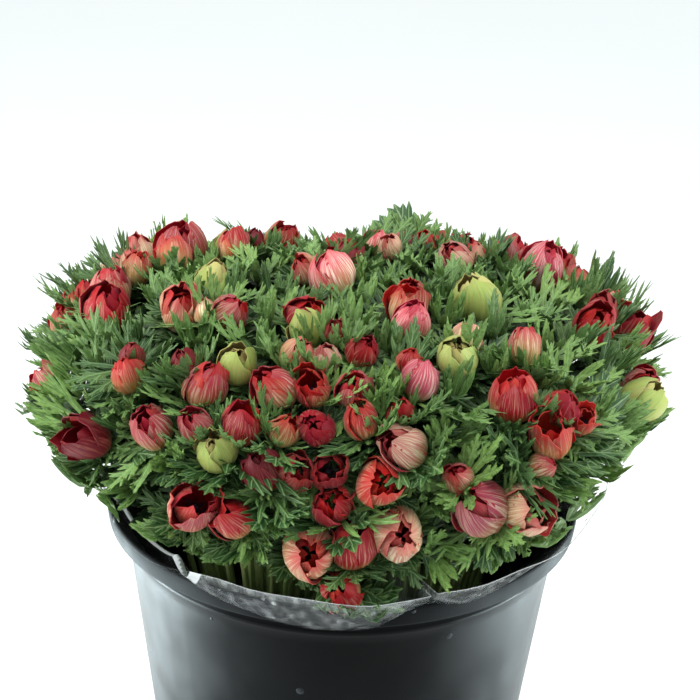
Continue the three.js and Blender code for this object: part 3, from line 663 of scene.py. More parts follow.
class Graph:
    """Shorthand for building the nodes of a material or a node group"""

    def __init__(self, tree):
        self.tree = tree
        self.column = 0

    def node(self, kind, **settings):
        made = self.tree.nodes.new(kind)
        self.column += 1
        made.location = (180 * self.column, 0)
        for key, value in settings.items():
            setattr(made, key, value)
        return made

    def link(self, source, target):
        self.tree.links.new(source, target)

    def feed(self, socket, value):
        """Links a socket to an output, or sets its constant; a colour is given without its alpha"""
        if isinstance(value, bpy.types.NodeSocket):
            self.link(value, socket)
        elif value is not None:
            socket.default_value = (*value, 1) if socket.type == "RGBA" else value

    def fed(self, made, *values, output=0):
        """Feeds the first sockets of a node in order, and gives one of its outputs"""
        for socket, value in zip(made.inputs, values):
            self.feed(socket, value)
        return made.outputs[output]

    def measure(self, name):
        return self.node("ShaderNodeAttribute", attribute_name=name).outputs["Fac"]

    def math(self, operation, a, b=None, clamp=False):
        return self.fed(self.node("ShaderNodeMath", operation=operation, use_clamp=clamp), a, b)

    def vector_math(self, operation, a, b=None, output=0):
        return self.fed(self.node("ShaderNodeVectorMath", operation=operation), a, b, output=output)

    def combine(self, *values):
        return self.fed(self.node("ShaderNodeCombineXYZ"), *values)

    def plus(self, total, *others):
        for other in others:
            total = self.math("ADD", total, other)
        return total

    def times(self, product, *others):
        for other in others:
            product = self.math("MULTIPLY", product, other)
        return product

    def ramp(self, value, low, high, to_low=0.0, to_high=1.0):
        """Eases from to_low where the value is low to to_high where it is high"""
        made = self.node("ShaderNodeMapRange", interpolation_type="SMOOTHSTEP")
        return self.fed(made, value, low, high, to_low, to_high)

    def mix(self, share, a, b):
        made = self.node("ShaderNodeMix", data_type="RGBA")
        for socket, value in ((0, share), (6, a), (7, b)):
            self.feed(made.inputs[socket], value)
        return made.outputs[2]

    def layers(self, colour, *layers):
        """A colour with other colours laid over it in turn, each by its share"""
        for share, over in layers:
            colour = self.mix(share, colour, over)
        return colour

    def noise(self, scale, detail=2.0, stretch=None, vector=None, roughness=0.5):
        where = vector or self.node("ShaderNodeTexCoord").outputs["Object"]
        if stretch:
            mapping = self.node("ShaderNodeMapping")
            mapping.inputs["Scale"].default_value = stretch
            self.link(where, mapping.inputs["Vector"])
            where = mapping.outputs[0]
        made = self.node("ShaderNodeTexNoise")
        self.link(where, made.inputs["Vector"])
        for key, value in (("Scale", scale), ("Detail", detail), ("Roughness", roughness)):
            made.inputs[key].default_value = value
        return made.outputs["Fac"]

    def bump(self, height, strength, distance):
        made = self.node("ShaderNodeBump")
        for key, value in (("Strength", strength), ("Distance", distance), ("Height", height)):
            self.feed(made.inputs[key], value)
        return made.outputs["Normal"]


def new_group(name, inputs, outputs):
    """A node group with named sockets; a three-number default makes a colour socket"""
    tree = bpy.data.node_groups.new(name, "ShaderNodeTree")
    for key, default in inputs.items():
        colour = isinstance(default, tuple)
        socket = tree.interface.new_socket(
            name=key, in_out="INPUT", socket_type="NodeSocketColor" if colour else "NodeSocketFloat")
        socket.default_value = (*default, 1) if colour else default
    for key, kind in outputs.items():
        tree.interface.new_socket(name=key, in_out="OUTPUT", socket_type=f"NodeSocket{kind}")
    graph = Graph(tree)
    return graph, graph.node("NodeGroupInput").outputs, graph.node("NodeGroupOutput").inputs


def use_group(graph, tree, **values):
    made = graph.node("ShaderNodeGroup", node_tree=tree)
    for key, value in values.items():
        graph.feed(made.inputs[key.capitalize()], value)
    return made.outputs


def new_material(name, **constants):
    """A material with its own Principled BSDF, whose constant sockets are set here"""
    material = bpy.data.materials.new(name)
    material.use_nodes = True
    shader = material.node_tree.nodes["Principled BSDF"]
    for key, value in constants.items():
        shader.inputs[key.replace("_", " ")].default_value = value
    return material, Graph(material.node_tree), shader.inputs


def made_once(kind, name):
    """Makes a material or node group on the first call, and finds it by its name after that"""
    def wrap(make):
        def find(*given):
            return getattr(bpy.data, kind).get(name.format(*given)) or make(*given)
        return find
    return wrap


@made_once("node_groups", "petal veins")
def petal_veins():
    """Fine veins that fan out from a petal's base, its green base, its blotches, and painted shade on the
    inner petals
    """
    graph, given, made = new_group(
        "petal veins",
        {"Outside": (0.5, 0.1, 0.1), "Inside": (0.4, 0.01, 0.02), "Vein": (0.8, 0.5, 0.4),
         "Base": (0.30, 0.36, 0.10), "Green": 0.3},
        {"Colour": "Color", "Relief": "Float"})
    across, along = graph.measure("across"), graph.measure("along")
    inside, tone, depth = graph.measure("inside"), graph.measure("tone"), graph.measure("depth")
    wander = graph.noise(60, 3.0)
    lay = graph.combine(graph.plus(graph.times(across, 19.0), graph.times(wander, 2.4)),
                        graph.times(along, 1.5), graph.times(tone, 40.0))
    streaks = graph.noise(1.0, 2.5, vector=lay, roughness=0.62)
    lines = graph.ramp(streaks, 0.49, 0.60)
    furrows = graph.ramp(streaks, 0.38, 0.48, 0.5, 0.0)
    fade = graph.ramp(along, 0.55, 1.05, 1.0, 0.35)
    veins = graph.times(lines, fade, graph.ramp(graph.noise(34), 0.34, 0.62, 0.55, 1.0))
    green_to = graph.plus(given["Green"], graph.times(wander, 0.35), graph.ramp(tone, 0.2, 0.8, -0.15, 0.30))
    blotch = graph.ramp(graph.noise(42, 3.0), 0.42, 0.74, 0.0, 0.35)
    at_margin = graph.ramp(graph.math("ABSOLUTE", across), 0.62, 1.0, 0.0, 0.75)
    red_edge = graph.times(graph.math("MAXIMUM", at_margin, graph.ramp(along, 0.78, 1.0, 0.0, 0.6)),
                           graph.ramp(tone, 0.25, 0.6, 0.15, 1.0),
                           graph.ramp(given["Green"], 0.6, 0.95, 1.0, 0.35))
    # The depth measure lays the inside colour over the outside of inner petals, as painted shade deeper in
    # the bloom
    face = graph.layers(
        given["Outside"], (graph.ramp(along, 0.0, green_to, 0.9, 0.0), given["Base"]), (veins, given["Vein"]),
        *[(share, given["Inside"]) for share in (graph.times(furrows, fade), blotch, red_edge, depth)])
    lining = graph.layers(
        given["Inside"], (graph.ramp(along, 0.05, 0.45, 0.5, 0.0), (0.012, 0.001, 0.004)),
        (graph.times(lines, 0.12), given["Outside"]))
    shade = graph.node("ShaderNodeHueSaturation")
    graph.link(graph.mix(inside, face, lining), shade.inputs["Color"])
    for key, at_low, at_high in (("Value", 0.62, 1.08), ("Saturation", 1.08, 0.98), ("Hue", 0.494, 0.507)):
        graph.link(graph.ramp(tone, 0.0, 1.0, at_low, at_high), shade.inputs[key])
    graph.link(shade.outputs[0], made["Colour"])
    graph.link(graph.plus(graph.times(streaks, 1.6), graph.times(wander, 0.8)), made["Relief"])
    return graph.tree


@made_once("node_groups", "wet drops")
def wet_drops():
    """Small round drops of water scattered over a surface"""
    graph, given, made = new_group(
        "wet drops", {"Scale": 60.0, "Share": 0.3}, {"Mask": "Float", "Height": "Float"})
    cells = graph.node("ShaderNodeTexVoronoi")
    graph.link(graph.node("ShaderNodeTexCoord").outputs["Object"], cells.inputs["Vector"])
    graph.link(given["Scale"], cells.inputs["Scale"])
    drawn = graph.node("ShaderNodeSeparateColor")
    graph.link(cells.outputs["Color"], drawn.inputs[0])
    picked = graph.math("LESS_THAN", drawn.outputs[0], given["Share"])
    size = graph.plus(graph.times(drawn.outputs[1], 0.22), 0.07)
    dome = graph.math("SUBTRACT", 1.0, graph.math("DIVIDE", cells.outputs["Distance"], size), clamp=True)
    dome = graph.times(graph.math("SQRT", dome), picked)
    graph.link(dome, made["Height"])
    graph.link(graph.ramp(dome, 0.02, 0.25), made["Mask"])
    return graph.tree


# The three layers of petals from the outside in: share of the bloom's openness, radius and height, the half
# angle that an inner petal covers, and how much painted shade a petal takes deeper in the bloom, as the
# darker inside colour
LAYER_OPENNESS = (1, 0.6, 0.25)
LAYER_RADIUS = (1.0, 0.85, 0.68)
LAYER_HEIGHT = (1.0, 0.98, 0.93)
LAYER_HALF_ANGLE = (None, 74, 80)
LAYER_PAINTED_SHADE = (0, 0.6, 0.9)

# How far a petal's features stand out, as shares of the bloom's radius, and of its height for the last two
LAP, BULGE, FLARE, FOOT_WAVE, TIP_WAVE, RIPPLE, OVAL = 0.085, 0.03, 0.34, 0.05, 0.07, 0.045, 0.06
FLARE_DROP, TIP_RISE = 0.05, 0.026

# The least and most of what is drawn for each petal
ROUNDING, OPENNESS_DRAW, FLARE_DRAW, TIP_CURL = (0.2, 0.42), (-0.2, 0.14), (-0.7, 1.0), (-0.05, 0.22)
CREASE_PLACE, CREASE_WIDTH, CREASE_DEPTH = (-0.6, 0.6), (0.3, 0.6), (-0.08, 0.11)
MARGIN_BEND, PLEAT_DRAW, HEIGHT_DRAW = (-0.10, 0.12), (0.5, 1.2), (0.84, 1.06)

# How open a bloom is when it has four outer petals, when its heart shows, and when it has only two layers
HALF_OPEN, HEART_SHOWS, WIDE_OPEN = 0.5, 0.65, 0.8
HEART_RADIUS, HEART_FOOT = 0.24, 0.34

# A petal's outline from the side: share of the bloom's radius at each level, for a closed bud and an open cup
PETAL_LEVELS = [0, 0.05, 0.13, 0.27, 0.45, 0.62, 0.78, 0.90, 1.0]
CLOSED_OUTLINE = [0.17, 0.40, 0.66, 0.90, 1.00, 0.95, 0.78, 0.55, 0.26]
OPEN_OUTLINE = [0.17, 0.44, 0.72, 0.95, 1.04, 1.07, 1.04, 1.00, 0.97]


def petal_profile(along, openness, core=False):
    """Share of the bloom's radius at each height of a petal, by how open it is"""
    closed = np.interp(along, PETAL_LEVELS, CLOSED_OUTLINE)
    opened = np.interp(along, PETAL_LEVELS, OPEN_OUTLINE)
    if core:
        return closed - 0.2 * smooth(along, 0.75, 1)
    share = 0.78 * np.clip(openness, 0, 1.2) ** 1.5
    return closed * (1 - share) + opened * share


def add_petal(mesh, flower, chance, settings, bearing, layer, bend, slot):
    """One petal: layer 0 is outermost; its edges wrap round the next petal like a roof tile"""
    columns = settings.across - (0 if layer == 0 else 2)
    rows = settings.along - (0 if layer == 0 else 3)
    u = np.linspace(-1, 1, columns)[None, :]
    s = (np.linspace(0, 1, rows) ** 0.9)[:, None]
    size, tall = flower.radius, flower.height
    along = s * (1 - chance.uniform(*ROUNDING) * np.abs(u) ** 1.9)
    openness = np.clip(flower.open * LAYER_OPENNESS[layer] + chance.uniform(*OPENNESS_DRAW), 0, 1.1)
    out = size * (petal_profile(along, openness, layer == 2) * LAYER_RADIUS[layer])
    widen = np.interp(s, [0, 0.25, 0.5, 0.8, 1], [0.62, 0.96, 1.0, 0.93, 0.84])
    half = math.radians(LAYER_HALF_ANGLE[layer] or bend["wide"]) * widen
    turn = bearing + half * u + bend["twist"] * along

    lap = LAP * u * (1 if chance.rand() < 0.9 else -1)
    out += size * lap * smooth(s, 0.05, 0.4)
    out += size * BULGE * np.cos(u * math.pi / 2) * smooth(s, 0.1, 0.5)
    flare = max(chance.uniform(*FLARE_DRAW), 0) * (0.25 + 0.75 * min(flower.open * 1.4, 1))
    flare_side = 1 if chance.rand() < 0.5 else -1
    curled = smooth(s, 0.5, 1) * smooth(flare_side * u, 0.1, 1) * flare
    out += size * FLARE * curled
    tip_curl = chance.uniform(*TIP_CURL) * flower.open
    out += size * tip_curl * smooth(s, 0.72, 1)
    wave = chance.uniform(0, 2 * math.pi, 5)
    out += size * FOOT_WAVE * np.sin(u * 5.2 + wave[0]) * s ** 1.5
    out += size * TIP_WAVE * np.sin(u * 11 + wave[4]) * smooth(s, 0.7, 1)
    out += size * RIPPLE * np.sin(3 * turn + wave[1]) * np.sin(6 * along + wave[2])
    creased = 1 - np.abs(u - chance.uniform(*CREASE_PLACE)) / chance.uniform(*CREASE_WIDTH)
    out += size * chance.uniform(*CREASE_DEPTH) * np.maximum(creased, 0) * smooth(s, 0.15, 0.7)
    out += size * chance.uniform(*MARGIN_BEND) * np.abs(u) ** 5 * smooth(s, 0.25, 0.8)
    pleat = bend["pleat"] * chance.uniform(*PLEAT_DRAW)
    out += size * pleat * np.cos(np.arange(columns) * math.pi)[None, :] * smooth(s, 0.1, 0.5)
    out *= 1 + OVAL * np.cos(2 * (turn - bend["flat"]))

    rise = tall * LAYER_HEIGHT[layer] * chance.uniform(*HEIGHT_DRAW) * along - tall * FLARE_DROP * curled
    rise = rise + tall * TIP_RISE * np.sin(u * 8 + wave[3]) * smooth(s, 0.6, 1)
    shift = size * bend["shift"] * along ** 2
    grid = flower.place(out * np.cos(turn) + shift * math.cos(bend["towards"]),
                        out * np.sin(turn) + shift * math.sin(bend["towards"]), rise)
    # The depth measure carries the painted shade of the petal's layer
    add_sheet(mesh, grid, settings.thickness / MM, slot, across=u, along=along, depth=LAYER_PAINTED_SHADE[layer],
              tone=chance.uniform(0, 1) * 0.5 + bend["tone"])


def add_heart(mesh, flower, chance, slot):
    """The dark boss of an open bloom with its ring of stamens"""
    rows, sides, stamens = 5, 12, 26
    polar = np.linspace(0.02, math.pi / 2, rows)[::-1][:, None]
    turn = (np.arange(sides) * 2 * math.pi / sides)[None, :]
    size = flower.radius * HEART_RADIUS
    foot = flower.height * HEART_FOOT
    knob = size * (1 + 0.08 * np.sin(5 * turn + 3 * polar))
    grid = flower.place(knob * np.sin(polar) * np.cos(turn), knob * np.sin(polar) * np.sin(turn),
                        foot + knob * np.cos(polar))
    plain = dict(across=0, along=0.2, inside=1, depth=1, tone=0.2)
    mesh.rings(grid, flower.place(0, 0, foot), flower.place(0, 0, foot + size), slot, **plain)
    for k in range(stamens):
        bearing = chance.uniform(0, 2 * math.pi)
        reach = flower.radius * chance.uniform(0.34, 0.52)
        tip = foot + size * chance.uniform(0.5, 1.3)
        start = flower.place(math.cos(bearing) * size * 0.7, math.sin(bearing) * size * 0.7, foot)
        end = flower.place(math.cos(bearing) * reach, math.sin(bearing) * reach, tip)
        path = [start, (start + end) / 2 + flower.axis * 0.6, end, end + flower.axis * 0.7]
        mesh.tube(path, [0.16, 0.14, 0.34, 0.2], 4, slot, **plain)


def add_bloom(mesh, flower, number, settings, slot, heart_slot):
    """The petals of one anemone in two or three wrapped layers"""
    chance = np.random.RandomState(BLOOM_SEED + number)
    closed = flower.open < HALF_OPEN
    bend = dict(
        twist=chance.uniform(-0.5, 0.5) * (1 - flower.open * 0.7), flat=chance.uniform(0, math.pi),
        wide=82 if closed else 64, shift=chance.uniform(0, 0.3), pleat=0.014 * chance.rand() ** 2,
        towards=chance.uniform(0, 2 * math.pi), tone=chance.uniform(0, 0.5))
    layers = (3, 3, 3) if closed else (4, 3, 3) if flower.open < WIDE_OPEN else (4, 4)
    for layer, count in enumerate(layers):
        start = flower.turn + layer * 0.9 + chance.uniform(-0.2, 0.2)
        for k in range(count):
            bearing = start + k * 2 * math.pi / count + chance.uniform(-0.14, 0.14)
            add_petal(mesh, flower, chance, settings, bearing, layer, bend, slot)
    if flower.open > HEART_SHOWS:
        add_heart(mesh, flower, chance, heart_slot)


@made_once("materials", "petal {}")
def petal_material(family):
    """The two-sided look of one colour family's petals"""
    outside, inside, vein, green = FAMILIES[family]
    material, graph, shader = new_material(
        f"petal {family}", Roughness=0.50, Sheen_Weight=0.05, Sheen_Roughness=0.4, Specular_IOR_Level=0.25)
    base = (0.18, 0.17, 0.05) if family == "wine" else (0.33, 0.40, 0.11)
    made = use_group(graph, petal_veins(), outside=outside, inside=inside, vein=vein, base=base, green=green)
    graph.link(made["Colour"], shader["Base Color"])
    graph.link(graph.bump(made["Relief"], 0.35, 0.0006), shader["Normal"])
    return material


@made_once("materials", "dark heart")
def heart_material():
    """The near-black boss and stamens of an open bloom"""
    material, graph, shader = new_material("dark heart", Roughness=0.7)
    speckle = graph.noise(600)
    graph.link(graph.mix(graph.ramp(speckle, 0.4, 0.7), (0.004, 0.003, 0.006), (0.030, 0.014, 0.034)),
               shader["Base Color"])
    graph.link(graph.bump(speckle, 0.6, 0.0005), shader["Normal"])
    return material


def film_height(bearing, out):
    """Height of the film above the base where it leans out over the rim, at a bearing and distance"""
    front, far, height, sag = sleeve_edge(bearing)
    low = BUCKET_HEIGHT + FILM_OVER_RIM + FILM_FRONT_LIFT * front
    near = RIM_RADIUS - RIM_WALL - FILM_INSIDE_RIM
    share = np.clip((out - near) / (far - near), 0, 1)
    leaning = low + (height - low) * share - sag * 4 * share * (1 - share)
    inner = SHOULDER + (low - SHOULDER) * (out - MOUTH_RADIUS) / (near - MOUTH_RADIUS)
    return np.where(out < near, inner, leaning)


def sleeve_edge(bearing):
    """The film's free edge: how far in front it is, its distance, height and sag at a bearing"""
    front = np.maximum(-np.sin(bearing), 0) ** 6
    flap = bell(bearing, FLAP_BEARING, FLAP_WIDTH)
    return (front, EDGE_OUT + EDGE_OUT_FRONT * front + EDGE_OUT_FLAP * flap,
            EDGE_HEIGHT + EDGE_HEIGHT_FRONT * front + EDGE_HEIGHT_FLAP * flap, EDGE_SAG * front)


def beyond_fold(points):
    """How far points lie outside the film's folded edge; at the left it folds back inside the rim"""
    bearing, away = round_and_out(points)
    return away - np.interp(np.degrees(bearing), *np.transpose(FOLD_LINE))


def lowest_leaf(points):
    """How far down leaves hang: over the film in front, higher and higher outside the rim elsewhere"""
    bearing, away = round_and_out(points)
    front = np.maximum(-np.sin(bearing), 0) ** 8
    hanging = bell(bearing, 0.1, 0.24)
    skirt = SKIRT_SLOPE * (1 - 0.5 * hanging) * (1 - 0.8 * front) * np.maximum(away - SKIRT_RADIUS, 0)
    above_flap = 24 * bell(bearing, -0.42, 0.24) * smooth(away, 150, 176)
    over_film = np.where(away > MOUTH_RADIUS - 4, film_height(bearing, away) + 2.5, 300)
    gap = 15 * bell(bearing, -1.93, 0.22)
    return np.maximum(SKIRT_HEIGHT - 26 * front + skirt + above_flap + gap, over_film)


BLOOM_CENTRES = np.array([flower.centre for flower in FLOWERS])
BLOOM_AXES = np.array([flower.axis for flower in FLOWERS])
BLOOM_RADII = np.array([flower.radius for flower in FLOWERS], float)
BLOOM_HEIGHTS = np.array([flower.height for flower in FLOWERS])
BLOOM_OUTWARD = np.array([unit([*flower.centre[:2], 30]) for flower in FLOWERS])

# How strongly each bloom keeps leaves from hanging in front of it; low blooms keep them off most
BLOOM_CLEARED = np.array([
    3.4 - 1.8 * smooth(centre[2], 352, 374) - 1.2 * smooth(centre[2], 380, 450) + 2.2 * corner_share(centre)
    for centre in BLOOM_CENTRES])
BLOOM_CLEARED[LOWEST_BLOOM] += 9


def above_crest(points):
    """How far points rise above the leaves of the head's far crest"""
    crest = smooth(points[..., 1], 50, 90) * (1 - smooth(np.abs(points[..., 0]), 120, 150))
    return crest * np.maximum(points[..., 2] - CREST_HEIGHT, 0)


# What it costs a leaf to lie inside a bloom, over one or in front of one, above the crest, outside the box of
# the CAD model or too low; what it costs to miss the wanted level and to be short; and how far a leaf may go
COST_INSIDE, COST_OVER, COST_BEFORE, COST_CREST, COST_BEYOND, COST_BELOW = 6, 0.42, 0.34, 0.25, 0.6, 0.12
COST_LEVEL, COST_SHORT, COST_CHANCE = 2.2, 1.4, 0.4
SIGHT_BEFORE, BOX_MARGIN, MOST_HANGING, MOST_CREST = 34, 4, 7, 7


def along_and_out(apart, axes):
    """How far vectors reach along axes, and out from them"""
    along = np.einsum("...jk,jk->...j", apart, axes)
    return along, np.sqrt(np.maximum((apart ** 2).sum(axis=-1) - along ** 2, 0))


def crowding(points):
    """How badly each row of points lies inside or over blooms, under the film, or outside the head"""
    apart = points[..., None, :] - BLOOM_CENTRES
    up, out = along_and_out(apart, BLOOM_AXES)
    depth = 1 - (out / (BLOOM_RADII + 0.5)) ** 2 - (up / (BLOOM_HEIGHTS * 0.52)) ** 2
    over = (out < BLOOM_RADII * 1.25) & (up > BLOOM_HEIGHTS * 0.1) & (up < BLOOM_HEIGHTS * 1.0)
    ahead, aside = along_and_out(apart, BLOOM_OUTWARD)
    before = (aside < BLOOM_RADII * 0.95) & (ahead > 0) & (ahead < SIGHT_BEFORE)
    low, high = np.array(CAD_BOX) / MM
    beyond = np.maximum(low - BOX_MARGIN - points, 0) + np.maximum(points - high - BOX_MARGIN, 0)
    below = np.maximum(lowest_leaf(points) - points[..., 2], 0)
    return (COST_INSIDE * np.clip(depth, 0, 1).sum(axis=(-1, -2)) + COST_OVER * over.sum(axis=(-1, -2))
            + (COST_BEFORE * BLOOM_CLEARED * before).sum(axis=(-1, -2))
            + COST_CREST * above_crest(points).sum(axis=-1)
            + COST_BEYOND * beyond.sum(axis=(-1, -2)) + COST_BELOW * below.sum(axis=-1))


def add_blades(mesh, paths, normals, widths, tones, ridge=0.17):
    """Narrow blades along several paths at once, each with a low ridge along its middle"""
    count, rows = paths.shape[:2]
    side = np.cross(np.gradient(paths, axis=1), normals)
    side /= np.linalg.norm(side, axis=-1, keepdims=True)
    half = (widths / 2)[..., None]
    crest = paths + normals * (half * 2 * ridge + 0.12)
    ring = np.stack([paths + side * half, crest, paths - side * half], axis=2)
    last = (rows - 1) * 3
    first_point = (np.arange(count) * rows * 3)[:, None, None]
    quads = ring_quads(rows, 3)[None] + first_point
    ends = np.array([[2, 1, 0], [last, last + 1, last + 2]])[None] + first_point
    mesh.add(ring, quads.reshape(-1, 4), ends.reshape(-1, 3), across=np.tile([1.0, 0.0, 1.0], count * rows),
             # This measure is 0 deep inside the head, where the leaf material paints shade, and 1 at its
             # surface
             within=smooth(dome_level(ring).ravel(), 0.55, 1.05),
             along=np.tile(np.repeat(np.linspace(0, 1, rows), 3), count), tone=np.repeat(tones, rows * 3))


# Steps along a lobe, along a part of a lobe and along a tooth, with their shares of the full width
LOBE_STEPS = np.array([0, 0.2, 0.42, 0.64, 0.84, 1.0])
LOBE_WIDTHS = np.array([0.62, 1.05, 1.36, 1.26, 0.84, 0.16])
PART_STEPS = np.array([0, 0.4, 0.75, 1.0])
PART_WIDTHS = np.array([0.95, 1.06, 0.80, 0.14])
TOOTH_STEPS = np.array([0, 1.0])
TOOTH_WIDTHS = np.array([0.84, 0.16])
FIT_STEPS = np.array([0, 0.3, 0.55, 0.8, 1.0])
FIT_SIZES = (1.0, 0.8)

# Lobes longer than LONG_LOBE split at two steps, the others at the first; each part's length and angle
LONG_LOBE = 0.8
SPLIT_STEPS = (2, 3)
PART_LENGTHS = (0.36, 0.27)
PART_ANGLES = (46, 40)
TIP_STEP = 4

# How far side lobes lift, in degrees at a spread in degrees, how they straighten towards their tips, and the
# share of its depth that a lobe keeps where it is pushed up from below the lowest leaves
CUPPING, CUPPED_SPREAD = 8, 60
STRAIGHTENING = 0.42
KEPT_DEPTH = 0.3

# The lobes of a leaf: bearing from the middle lobe in degrees, and share of its length
WHOLE_HAND = ((0, 1.0), (35, 0.90), (-35, 0.90), (70, 0.66), (-70, 0.66))
YOUNG_HAND = ((0, 1.0), (36, 0.88), (-36, 0.88))

# The ways that each kind of leaf may stand: its lift at the root and at the tip, in degrees
COLLAR_LIFTS = ((4, 0), (12, 26), (22, 46), (32, 62), (42, 78), (54, 60), (40, 8), (64, 74))
UNDER_LIFTS = ((8, 0), (22, 6), (36, 18), (50, 30), (10, -16), (28, -8))
TUFT_LIFTS = ((24, 40), (36, 60), (48, 74), (60, 84), (66, 60), (60, 20))
FILLING_LIFTS = ((0, 0), (20, 10), (40, 30), (60, 50))
LINING_LIFTS = ((64, 76), (74, 86), (84, 94))


class Leaf:
    """A hand-shaped leaf: lobes spread from one point, each lobe splits, and its parts end in teeth"""

    def __init__(self, root, outward, axis, hand, tone, width):
        self.root, self.outward, self.axis = root, outward, axis
        self.across = np.cross(axis, outward)
        self.spread, self.reach = np.array(hand).T
        self.tone, self.width = tone, width

    def strips(self, roots, spread, start, end, steps, length, lifts, held=True):
        """Paths and upper normals of several strips; start and end are shares of the leaf's length"""
        share = start[..., None] + (end - start)[..., None] * steps
        cupped = CUPPING * (spread[..., None] / CUPPED_SPREAD) ** 2
        lift = np.radians(lifts[..., :1] + (lifts[..., 1:] - lifts[..., :1]) * share + cupped)[..., None]
        turn = np.radians(spread[..., None] * (1 - STRAIGHTENING * share))
        level = np.cos(turn)[..., None] * self.outward + np.sin(turn)[..., None] * self.across
        heading = np.cos(lift) * level + np.sin(lift) * self.axis
        normal = np.cos(lift) * self.axis - np.sin(lift) * level
        stride = np.diff(steps, prepend=0)[:, None] * length[..., None, None]
        between = (heading[..., 1:, :] + heading[..., :-1, :]) / 2
        middle = np.concatenate([heading[..., :1, :], between], axis=-2)
        path = roots[..., None, :] + np.cumsum(middle * stride, axis=-2)
        if held:
            low, height = lowest_leaf(path), path[..., 2]
            path[..., 2] = np.where(height < low, low + (height - low) * KEPT_DEPTH, height)
        return path, normal

    def fit(self, length, choices, wanted, chance):
        """Picks the lift and length that keep the leaf clear of blooms and film, near its wanted level"""
        tries = np.array([(low, high, size) for low, high in choices for size in FIT_SIZES], float)
        count, lobes = len(tries), len(self.spread)
        spread = np.broadcast_to(self.spread, (count, lobes))
        lifts = np.broadcast_to(tries[:, None, :2], (count, lobes, 2))
        nothing = np.zeros((count, lobes))
        path = self.strips(self.root, spread, nothing, nothing + 1, FIT_STEPS,
                           tries[:, 2:] * length * self.reach, lifts, held=False)[0]
        points = path[:, :, 1:].reshape(count, -1, 3)
        level = dome_level(path[:, 0, -1])
        cost = (crowding(points) + COST_LEVEL * np.abs(level - wanted) + COST_SHORT * (1 - tries[:, 2])
                + chance.uniform(0, COST_CHANCE, count))
        pick = np.argmin(cost)
        self.lifts, self.length = tries[pick][:2], length * tries[pick][2]
        hanging = np.maximum(lowest_leaf(points[pick]) - points[pick][:, 2], 0)
        return hanging.mean() < MOST_HANGING and above_crest(points[pick]).max() < MOST_CREST

    def add_to(self, mesh, chance, teeth=True):
        """Adds the lobes, the parts that split from them, and the teeth of the parts and of the tips"""
        lobes = len(self.spread)
        lifts = np.array([self.lifts]) + chance.uniform(-9, 9, (lobes, 1))
        spread = self.spread + chance.uniform(-8, 8, lobes)
        length = self.length * self.reach * chance.uniform(0.9, 1.1, lobes)
        start = np.zeros(lobes)
        paths, normals = self.strips(self.root, spread, start, start + 1, LOBE_STEPS, length, lifts)
        tones = self.tone + chance.uniform(-0.12, 0.12, lobes)
        widths = self.width * (0.8 + 0.3 * self.reach)
        add_blades(mesh, paths, normals, LOBE_WIDTHS * widths[:, None], tones)

        splits = [(k, level, to) for k in range(lobes)
                  for level in (SPLIT_STEPS if self.reach[k] > LONG_LOBE else SPLIT_STEPS[:1])
                  for to in (-1, 1) if chance.rand() > 0.06]
        lobe, where, hand = np.array(splits).reshape(-1, 3).T
        begin = LOBE_STEPS[where]
        low = where == SPLIT_STEPS[0]
        share = np.where(low, *PART_LENGTHS) * chance.uniform(0.78, 1.15, len(lobe))
        aim = spread[lobe] + hand * np.where(low, *PART_ANGLES) * chance.uniform(0.75, 1.2, len(lobe))
        roots = paths[lobe, where] - normals[lobe, where] * 0.1
        slim = 1.0 if teeth else 0.8
        parts, facing = self.strips(
            roots, aim, begin, np.minimum(begin + share, 1), PART_STEPS, length[lobe] * share / slim,
            lifts[lobe] + chance.uniform(-6, 10, (len(lobe), 1)))
        part_tones = tones[lobe] + 0.05 * hand
        add_blades(mesh, parts, facing, PART_WIDTHS * (widths[lobe] * 0.9 * slim)[:, None], part_tones)
        if not teeth:
            return

        tip = np.repeat(np.nonzero(self.reach > LONG_LOBE)[0], 2)
        turn = np.tile([-1, 1], len(tip) // 2)
        roots = np.concatenate([parts[:, 1], paths[tip, TIP_STEP]])
        normal = np.concatenate([facing[:, 1], normals[tip, TIP_STEP]])
        aim = np.concatenate([aim + hand * 30, spread[tip] + turn * 30])
        at_tip = np.full(len(tip), LOBE_STEPS[TIP_STEP])
        begin = np.concatenate([np.minimum(begin + share * 0.4, 0.9), at_tip])
        size = np.concatenate([length[lobe] * 0.17, length[tip] * 0.15]) * chance.uniform(0.8, 1.25, len(aim))
        tooth, facing = self.strips(roots - normal * 0.1, aim, begin, begin + 0.12, TOOTH_STEPS, size,
                                    np.concatenate([lifts[lobe], lifts[tip]]))
        wide = np.concatenate([widths[lobe] * 0.72, widths[tip] * 0.66])
        tones = np.concatenate([part_tones, tones[tip]]) + 0.05
        add_blades(mesh, tooth, facing, TOOTH_WIDTHS * wide[:, None], tones)


class LeafMaker:
    """Grows the leaves of one place into a mesh; lengths and widths are shares of those in the settings"""

    def __init__(self, mesh, seed, settings):
        self.mesh = mesh
        self.chance = np.random.RandomState(seed)
        self.long, self.wide = settings.length / MM, settings.lobe_width / MM

    def grow(self, root, outward, axis, length, width, tone, wanted, choices, hand=WHOLE_HAND, lower=False):
        """One leaf; a few grow as plain narrow straps without teeth, as the hidden lower leaves do"""
        strap = self.chance.rand() < 0.14
        tone = tone + self.chance.uniform(-0.15, 0.15)
        leaf = Leaf(root, outward, axis, hand, tone, self.wide * width * (0.85 if strap else 1))
        if leaf.fit(self.long * length * (1.12 if strap else 1), choices, wanted, self.chance):
            leaf.add_to(self.mesh, self.chance, not (strap or lower))


